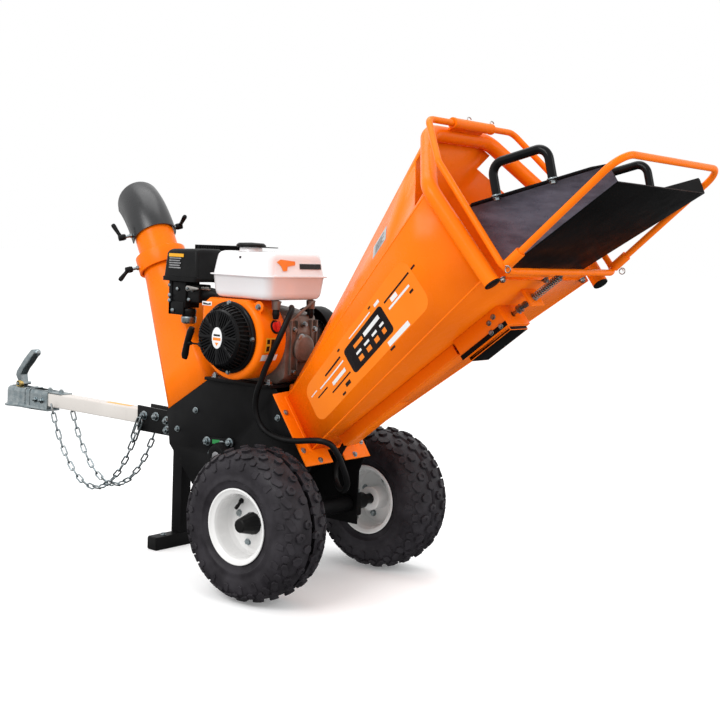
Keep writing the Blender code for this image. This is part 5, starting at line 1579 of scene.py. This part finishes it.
def recoil():
    """Recoil cover: slotted face in sectors, louvred side wall, mounting ring and badge."""
    centre = Vector((CRANK.x, 0, CRANK.z))
    ring = [(0.06, FAN_FRONT + 0.0003), (0.085, FAN_FRONT + 0.0003), (0.0858, 0.1655),
        (0.0845, 0.1705), (0.08, 0.1725), (0.078, 0.1715), (0.06, 0.1715),
        (0.06, FAN_FRONT + 0.0003)]
    mesh = spun(ring, 0.0012, centre, -Y, 128)
    add("recoil_ring", mesh, "gloss_black", stands_for=["recoil_starter"], slot="black_plastic")
    parts = []
    count = 44
    for k in range(count):
        angle = 2 * pi * k / count
        ray = Vector((cos(angle), 0, sin(angle)))
        tangent = Vector((-sin(angle), 0, cos(angle)))
        path = [centre + ray * r - Y * h + tangent * t for r, h, t in ((0.078, 0.17, -0.0022),
            (0.0765, 0.176, -0.0016), (0.0705, 0.192, 0.001), (0.066, 0.1985, 0.0022))]
        parts.append(bar_along(path, tangent, 0.002, 0.0016))
    band = [(0.062, 0.1975), (0.0675, 0.1965), (0.0672, 0.199), (0.064, 0.204), (0.059, 0.2055),
        (0.0585, 0.203), (0.062, 0.1975)]
    parts.append(spun(band, 0.0008, centre, -Y, 128))
    rim_band = [(0.0745, 0.17), (0.079, 0.17), (0.0788, 0.1745), (0.0768, 0.1765), (0.0745, 0.176),
        (0.0745, 0.17)]
    parts.append(spun(rim_band, 0.0008, centre, -Y, 128))
    hub = [(0.0, 0.2), (0.027, 0.2), (0.027, 0.205), (0.0255, 0.2062), (0.0, 0.2065)]
    parts.append(spun(hub, 0.0008, centre, -Y, 64))
    sectors, slats = 8, 5
    for s in range(sectors):
        middle = 2 * pi * s / sectors + pi / 8
        ray = Vector((cos(middle), 0, sin(middle)))
        tangent = Vector((-sin(middle), 0, cos(middle)))
        for k in range(slats):
            shift = (k - (slats - 1) / 2) * 0.0068
            reach = (0.0625 ** 2 - shift ** 2) ** 0.5
            start = max(0.024, abs(shift) / tan(pi / sectors) + 0.003)
            path = [centre + ray * r + tangent * shift - Y * 0.204 for r in (start, reach)]
            parts.append(bar_along(path, tangent, 0.0021, 0.0022))
        edge = 2 * pi * s / sectors
        ray = Vector((cos(edge), 0, sin(edge)))
        tangent = Vector((-sin(edge), 0, cos(edge)))
        path = [centre + ray * r - Y * 0.2038 for r in (0.024, 0.062)]
        parts.append(bar_along(path, tangent, 0.0046, 0.0026))
    add("recoil_cover", merged(parts), "gloss_black", slot="black_plastic")
    # A near-black disc inside the cover: painted shade for the hollow behind the slots.
    dark = [(0.0, 0.17), (0.072, 0.17), (0.068, 0.186), (0.06, 0.199), (0.0, 0.2)]
    add("recoil_inside_shade", spun(dark, 0.001, centre, -Y, 96), "painted_gap_shade", slot="black_plastic")
    oval = [(0.0165 * cos(2 * pi * k / 48), 0.025 * sin(2 * pi * k / 48)) for k in range(48)]
    badge_at = centre - Y * (RECOIL_FACE - 0.0003)
    add("recoil_badge", plate(oval, badge_at, X, Z, 0.0008, 0.0002), "white_print")
    for name, outline, look in (("badge_bar", rect(-0.0105, 0.0105, 0.004, 0.0085), "black_print"),
            ("badge_band", rect(-0.0125, 0.0125, -0.006, 0.0005), "orange_print"),
            ("badge_point", [(-0.006, -0.011), (0.0, -0.0185), (0.006, -0.011)], "orange_print")):
        add(name, plate(outline, badge_at - Y * 0.0008, X, Z, 0.0003), look, slot="white_paint")
    spots = []
    for angle in (88.0, 1.0, -86.0, 180.0):
        ray = Vector((cos(radians(angle)), 0, sin(radians(angle))))
        spots.append((centre + ray * 0.0818 - Y * 0.1718, -Y))
    fasteners("recoil_screws", spots, across=0.0085, head=0.004, washer=0.0062)


def bar_along(path, wide, half_width, half_depth):
    """A flat bar with rounded edges along a path; wide is the direction of its width."""
    wide = Vector(wide).normalized()
    rings = []
    for point, ahead in zip(path, headings(path)):
        deep = ahead.cross(wide).normalized()
        rings.append([point + wide * (half_width * u) + deep * (half_depth * v)
            for u, v in ((-1, -0.6), (-0.7, -1), (0.7, -1), (1, -0.6), (1, 0.6), (0.7, 1),
            (-0.7, 1), (-1, 0.6))])
    return loft(rings)


def pull_grip():
    """T-shaped pull grip with its stem, and the rope."""
    start = Vector((-0.242, -0.185, 0.562))
    grip_at = start - X * 0.03
    reach = start - X * 0.0012 - grip_at
    route = [start - X * 0.0012 - reach * (k / 12) for k in range(13)]
    rope = add("pull_rope", round_bar(route, 0.0022), "black_plastic", None,
        stands_for=["recoil_rope"])
    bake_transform(rope)
    along = Vector((0.3, 0.0, 0.954)).normalized()
    centre = grip_at - X * 0.014
    wide = along.cross(Y).normalized()
    rings = []
    shape = ((-0.0415, 0.55, 0.3), (-0.04, 0.9, 0.75), (-0.03, 1.15, 1.0), (-0.01, 1.0, 0.95),
        (0.0, 0.95, 0.95), (0.01, 1.0, 0.95), (0.03, 1.15, 1.0), (0.04, 0.9, 0.75),
        (0.0415, 0.55, 0.3))
    for height, width, depth in shape:
        bow = X * (0.004 * (height / 0.042) ** 2)
        rings.append([centre + along * height + bow + wide * (0.0078 * width * cos(2 * pi * k / 24))
            + Y * (0.0088 * depth * sin(2 * pi * k / 24)) for k in range(24)])
    parts = [loft(rings)]
    stem = [(0.0, 0.0), (0.0048, 0.0), (0.005, 0.004), (0.0062, 0.014), (0.0, 0.014)]
    parts.append(spun(stem, 0.0006, grip_at, -X, 32))
    add("pull_handle", merged(parts), "black_plastic", "pull_grip", stands_for=["recoil_grip"])
    guide = [(0.003, 0.0), (0.0085, 0.0), (0.0085, 0.01), (0.0062, 0.018), (0.003, 0.018),
        (0.003, 0.0)]
    add("rope_guide", spun(guide, 0.0008, start + X * 0.0165, -X, 40), "gloss_black",
        slot="black_plastic")


def tank():
    """Pressed fuel tank with generous corners, its seam flange, cap and two printed shapes."""
    x0, x1, y0, y1 = -0.243, -0.046, -0.16, 0.046

    def ring(grow, z, corner=0.024):
        outline = round_outline(rect(x0 - grow, x1 + grow, y0 - grow, y1 + grow), corner, 8)
        return [Vector((x, y, z)) for x, y in outline]

    rings = [ring(-0.026, 0.676, 0.024), ring(-0.017, 0.6768), ring(-0.01, 0.6795),
        ring(-0.006, 0.685), ring(-0.0042, 0.693), ring(-0.0005, 0.7285), ring(0.001, 0.73),
        ring(0.005, 0.7302), ring(0.0056, 0.7316), ring(0.005, 0.7332), ring(0.001, 0.7336),
        ring(-0.001, 0.735), ring(-0.006, 0.77), ring(-0.008, 0.779), ring(-0.012, 0.7845),
        ring(-0.018, 0.7872), ring(-0.028, 0.788, 0.02)]
    add("tank_shell", loft(rings, angle=50.0), "tank_white", stands_for=["fuel_tank"])
    axis = joint_point("tank_cap_turn")
    axis.z = 0.0
    neck = [(0.0, 0.787), (0.0285, 0.787), (0.0275, 0.79), (0.0262, 0.7968), (0.0, 0.7968)]
    add("tank_neck", spun(neck, 0.0006, axis, Z, 64), "tank_white")
    cap = [(0.0, 0.7972), (0.0345, 0.7972), (0.0345, 0.803), (0.03, 0.807), (0.0, 0.8085)]
    parts = [spun(cap, 0.001, axis, Z, 64)]
    for k in range(20):
        angle = 2 * pi * k / 20
        ray = Vector((cos(angle), sin(angle), 0))
        path = [axis + ray * 0.0343 + Z * height for height in (0.798, 0.8026)]
        parts.append(bar_along(path, ray.cross(Z), 0.0016, 0.001))
    add("tank_cap", merged(parts), "black_plastic", "tank_cap", stands_for=["fuel_cap"])
    up = Vector((-0.005, 0, 0.035)).normalized()
    at = Vector((x1 - 0.003, 0, 0.755))
    mark = [(-0.131, 0.011), (-0.118, 0.017), (-0.069, 0.013), (-0.07, 0.004), (-0.096, 0.001),
        (-0.098, -0.009), (-0.112, -0.01), (-0.117, 0.001)]
    bar = rect(-0.053, 0.022, -0.005, 0.0075)
    for name, outline, look in (("tank_mark", mark, "orange_print"),
            ("tank_bar", bar, "black_print")):
        add(name, plate(outline, at - X * 0.0005, Y, up, 0.0011), look, slot="tank_white")
    spot = rect(-0.15, -0.144, 0.002, 0.007)
    add("tank_dot", plate(spot, Vector((0, y0 + 0.0062, 0.769)), X, Vector((0, 0.0052, 0.042)),
        0.001), "black_print", slot="tank_white")
    posts = []
    for x, y in ((-0.066, -0.112), (-0.07, 0.014), (-0.215, 0.02)):
        at = Vector((x, y, 0.6745))
        posts.append(spun([(0.0, -0.02), (0.01, -0.02), (0.011, 0.0), (0.0, 0.004)], 0.001, at, Z,
            36))
        posts.append(hexagon(at - Z * 0.02, -Z, 0.012, 0.0, 0.008))
    add("tank_posts", merged(posts), "cast_aluminium")
    for k, (x, y) in enumerate(((-0.066, -0.112), (-0.07, 0.014))):
        boot = [(0.0, 0.0), (0.008, 0.0), (0.0088, -0.01), (0.006, -0.022), (0.0, -0.022)]
        add(f"post_boot_{k}", spun(boot, 0.0008, Vector((x, y, 0.654)), Z, 36), "black_plastic")
    brace = [Vector((-0.056, 0.01, 0.674)), Vector((-0.054, -0.025, 0.656)),
        Vector((-0.054, -0.07, 0.628))]
    add("tank_brace", bar_along(smooth_route(brace, 12), Y, 0.0065, 0.0016), "cast_aluminium")


def intake():
    """Air cleaner with a flared base and a plain label, and the carburettor."""
    x0, x1, y0, y1 = -0.421, -0.298, -0.152, -0.045

    def ring(shift_low, shift_high, grow_y, z, slope=0.0, corner=0.01):
        outline = round_outline(rect(x0 + shift_low, x1 + shift_high, y0 - grow_y, y1 + grow_y),
            corner, 5)
        return [Vector((x, y, z + slope * (x - x0))) for x, y in outline]

    rings = [ring(0.0005, -0.0005, 0.0, 0.7067), ring(0.0, 0.0, 0.0, 0.7075),
        ring(0.0, 0.0, 0.0, 0.717), ring(0.002, -0.001, -0.003, 0.7185),
        ring(0.0085, -0.0045, -0.006, 0.774, 0.03), ring(0.012, -0.006, -0.0085, 0.78, 0.03),
        ring(0.018, -0.011, -0.015, 0.7845, 0.03), ring(0.03, -0.02, -0.028, 0.785, 0.03)]
    add("air_box", loft(rings, angle=40.0), "black_plastic", stands_for=["air_cleaner"])
    lean = Vector((0.0, 0.003, 0.0555)).normalized()
    at = Vector((-0.399, y0 + 0.004, 0.75))
    add("air_label", plate(rect(0.0, 0.052, 0.016, 0.024), at, X, lean, 0.0012), "amber_print")
    for k in range(5):
        height = 0.011 - 0.0058 * k
        outline = rect(0.002, 0.044 - 0.004 * (k % 2), height, height + 0.003)
        add(f"air_line_{k}", plate(outline, at, X, lean, 0.0012), "steel")
    parts = [block((-0.408, -0.134, 0.64), (-0.352, -0.085, 0.7063), 0.003),
        block((-0.352, -0.129, 0.655), (-0.31, -0.086, 0.7), 0.004),
        block((-0.41, -0.1368, 0.623), (-0.399, -0.09, 0.7063), 0.002),
        block((-0.41, -0.1368, 0.623), (-0.356, -0.13, 0.656), 0.002),
        spun([(0.0, 0.0), (0.017, 0.0), (0.0185, 0.006), (0.0165, 0.02), (0.0, 0.02)], 0.001,
        Vector((-0.36, -0.113, 0.639)), -Z, 40)]
    add("carb_body", merged(parts), "black_plastic", stands_for=["carburettor"])
    bowl = [(0.0, 0.0), (0.0186, 0.0), (0.019, 0.004), (0.0182, 0.015), (0.014, 0.0185),
        (0.0, 0.019)]
    silver = [spun(bowl, 0.0012, Vector((-0.36, -0.113, 0.6195)), -Z, 56),
        hexagon(Vector((-0.36, -0.113, 0.601)), -Z, 0.01, -0.001, 0.001)]
    for x, y, z, foot, face, reach, top in ((-0.378, -0.1345, 0.687, 0.0052, 0.0045, 0.004, 0.0048),
            (-0.33, -0.1292, 0.686, 0.0052, 0.0045, 0.005, 0.0058),
            (-0.342, -0.1292, 0.662, 0.0052, 0.0045, 0.004, 0.0048),
            (-0.408, -0.1345, 0.695, 0.0052, 0.0045, 0.003, 0.0038),
            (-0.392, -0.137, 0.633, 0.0055, 0.005, 0.0035, 0.0045),
            (-0.404, -0.137, 0.657, 0.0055, 0.005, 0.0035, 0.0045),
            (-0.404, -0.137, 0.67, 0.0055, 0.005, 0.0035, 0.0045)):
        silver.append(spun([(0.0, 0.0), (foot, 0.0), (face, reach), (0.0, top)], 0.0006,
            Vector((x, y, z)), -Y, 28))
    spring = []
    for k in range(9 * 12 + 1):
        angle = 2 * pi * k / 12
        spring.append(Vector((-0.315 + 0.036 * k / 108 - 0.002, -0.12 + 0.0035 * cos(angle),
            0.692 + 0.0035 * sin(angle))))
    add("governor_spring", tube(spring, 0.0007, 2), "spring_steel")
    add("carb_metal", merged(silver), "zinc")
    duct = rounded([Vector((-0.313, -0.105, 0.676)), Vector((-0.29, -0.105, 0.679)),
        Vector((-0.265, -0.09, 0.672))], 0.01)
    add("intake_duct", tube(duct, 0.015, 8), "black_plastic")


def exhaust():
    """Muffler under its perforated guard strip, on the far side of the air cleaner."""
    low, high = box_of("muffler")
    body = block((-0.415, -0.03, 0.708), (-0.272, 0.122, 0.78), 0.014)
    add("muffler_can", body, "steel")
    sheets = [block((low.x, low.y, high.z - 0.024), (low.x + 0.003, high.y, high.z), 0.001),
        block((low.x, low.y, 0.7035), (-0.262, low.y + 0.003, high.z - 0.026), 0.001),
        block((low.x, high.y - 0.003, 0.7035), (-0.262, high.y, high.z - 0.026), 0.001)]
    add("muffler_guard", merged(sheets), "black_coat", stands_for=["muffler"])
    strips = []
    for y in (low.y + 0.004, high.y - 0.008):
        for z in (high.z - 0.02, high.z - 0.0025):
            strips.append(block((low.x, y, z), (high.x - 0.03, y + 0.0035, z + 0.0022), 0.0005))
        strips.append(block((low.x, y - 0.001, high.z - 0.02), (low.x + 0.014, y + 0.0045, high.z),
            0.0008))
        for k in range(8):
            x = low.x + 0.019 + 0.0085 * k
            strips.append(block((x, y, high.z - 0.019), (x + 0.0035, y + 0.003, high.z - 0.002),
                0.0004))
    top = high.z - 0.0022
    for k in range(9):
        y = low.y + 0.004 + (high.y - low.y - 0.012) * k / 8
        strips.append(block((low.x, y, top), (high.x - 0.03, y + 0.009, high.z), 0.0005))
    add("guard_strips", merged(strips), "black_coat", slot="steel")


def guard_screws():
    """Screws of the belt guard."""
    low, high = box_of("belt_guard")
    middle = (low + high) / 2
    spots = [(Vector((x, high.y + 0.0002, z)), Y) for x, z in ((CRANK.x, CRANK.z + 0.052),
        (ROTOR.x, ROTOR.z - 0.048), (middle.x + 0.035, middle.z))]
    fasteners("guard_screws", spots, across=0.01, head=0.005, washer=0.0085)


def controls():
    """Red stop switch on its black base, and the throttle lever."""
    base = [(0.0, 0.0), (0.0165, 0.0), (0.0165, 0.0015), (0.014, 0.0022), (0.0, 0.0022)]
    add("switch_base", spun(base, 0.0005, SWITCH, SWITCH_AXIS, 48), "black_plastic")
    parts = [spun([(0.0, 0.0022), (0.0125, 0.0022), (0.0125, 0.006), (0.0, 0.0065)], 0.0008, SWITCH,
        SWITCH_AXIS, 48)]
    side, up = basis(SWITCH_AXIS)

    def corner(a, b, c):
        return SWITCH + side * a + up * b + SWITCH_AXIS * c

    parts.append(slanted_block(corner, ((-0.0035, 0.0035), (-0.011, 0.011), (0.0058, 0.0158)),
        0.0014))
    add("switch_knob", merged(parts), "red_plastic", "stop_switch", stands_for=["engine_switch"])
    outline = [(THROTTLE.x + 0.007 * cos(a), THROTTLE.z + 0.007 * sin(a))
        for a in (pi / 2 + pi * k / 16 for k in range(17))]
    outline += [(THROTTLE.x + 0.03, THROTTLE.z - 0.003), (THROTTLE.x + 0.038, THROTTLE.z - 0.001),
        (THROTTLE.x + 0.038, THROTTLE.z + 0.003), (THROTTLE.x + 0.03, THROTTLE.z + 0.004)]
    rings = upright(outline, -0.1408, -0.1377)
    add("throttle_arm", bevelled_mesh(loft(rings), 0.0006, 2, 50.0), "spring_steel", "throttle",
        stands_for=["throttle_lever"], slot="black_plastic")
    screw = [(0.0, 0.0), (0.0036, 0.0), (0.0032, 0.0022), (0.0, 0.0028)]
    add("throttle_screw", spun(screw, 0.0004, THROTTLE - Y * 0.0014, -Y, 24), "zinc", "throttle")


# ---------------------------------------------------------------- CAD nodes that stay in view
SOFT_EDGES = {"hopper_body": 0.0, "drive_belt": 0.0, "belt_guard": 0.0012, "chute_lower": 0.0}


def finish_nodes():
    """Give every CAD node that is shown its material, joined vertices and softened edges."""
    slots = {part["node"]: part["material_slot"] for part in RECORD["subparts"]}
    for name, node in NODES.items():
        mesh = node.data
        mesh.materials.clear()
        mesh.materials.append(COATS[slots[name]])
        if node.hide_render:
            continue
        weld = node.modifiers.new("weld", "WELD")
        weld.merge_threshold = 0.00001
        if SOFT_EDGES.get(name, 0.0009) > 0.0:
            edge = node.modifiers.new("soft_edges", "BEVEL")
            edge.width = SOFT_EDGES.get(name, 0.0009)
            edge.segments = 3
            edge.limit_method = "ANGLE"
            edge.angle_limit = radians(32.0)
            edge.harden_normals = False
        smooth_mesh(mesh, 32.0)


def main():
    for build in (camera, conduit, chains, studio, wheels, link_bar, chassis_bolts, bearing_covers,
            axle_clamps, stand, tow_gear, coupler, lever, tow_bar, hood, chute_tube, chute_levers,
            mouth_tube, stop_bar, sleeve, hopper_screws, flange_folds, hopper_seams, hopper_labels,
            rating_plate, stop_linkage, channel, feed_tray, tray_handles, crankcase, fan_cowl,
            recoil, pull_grip, tank, intake, exhaust, guard_screws, controls, finish_nodes):
        build()


main()
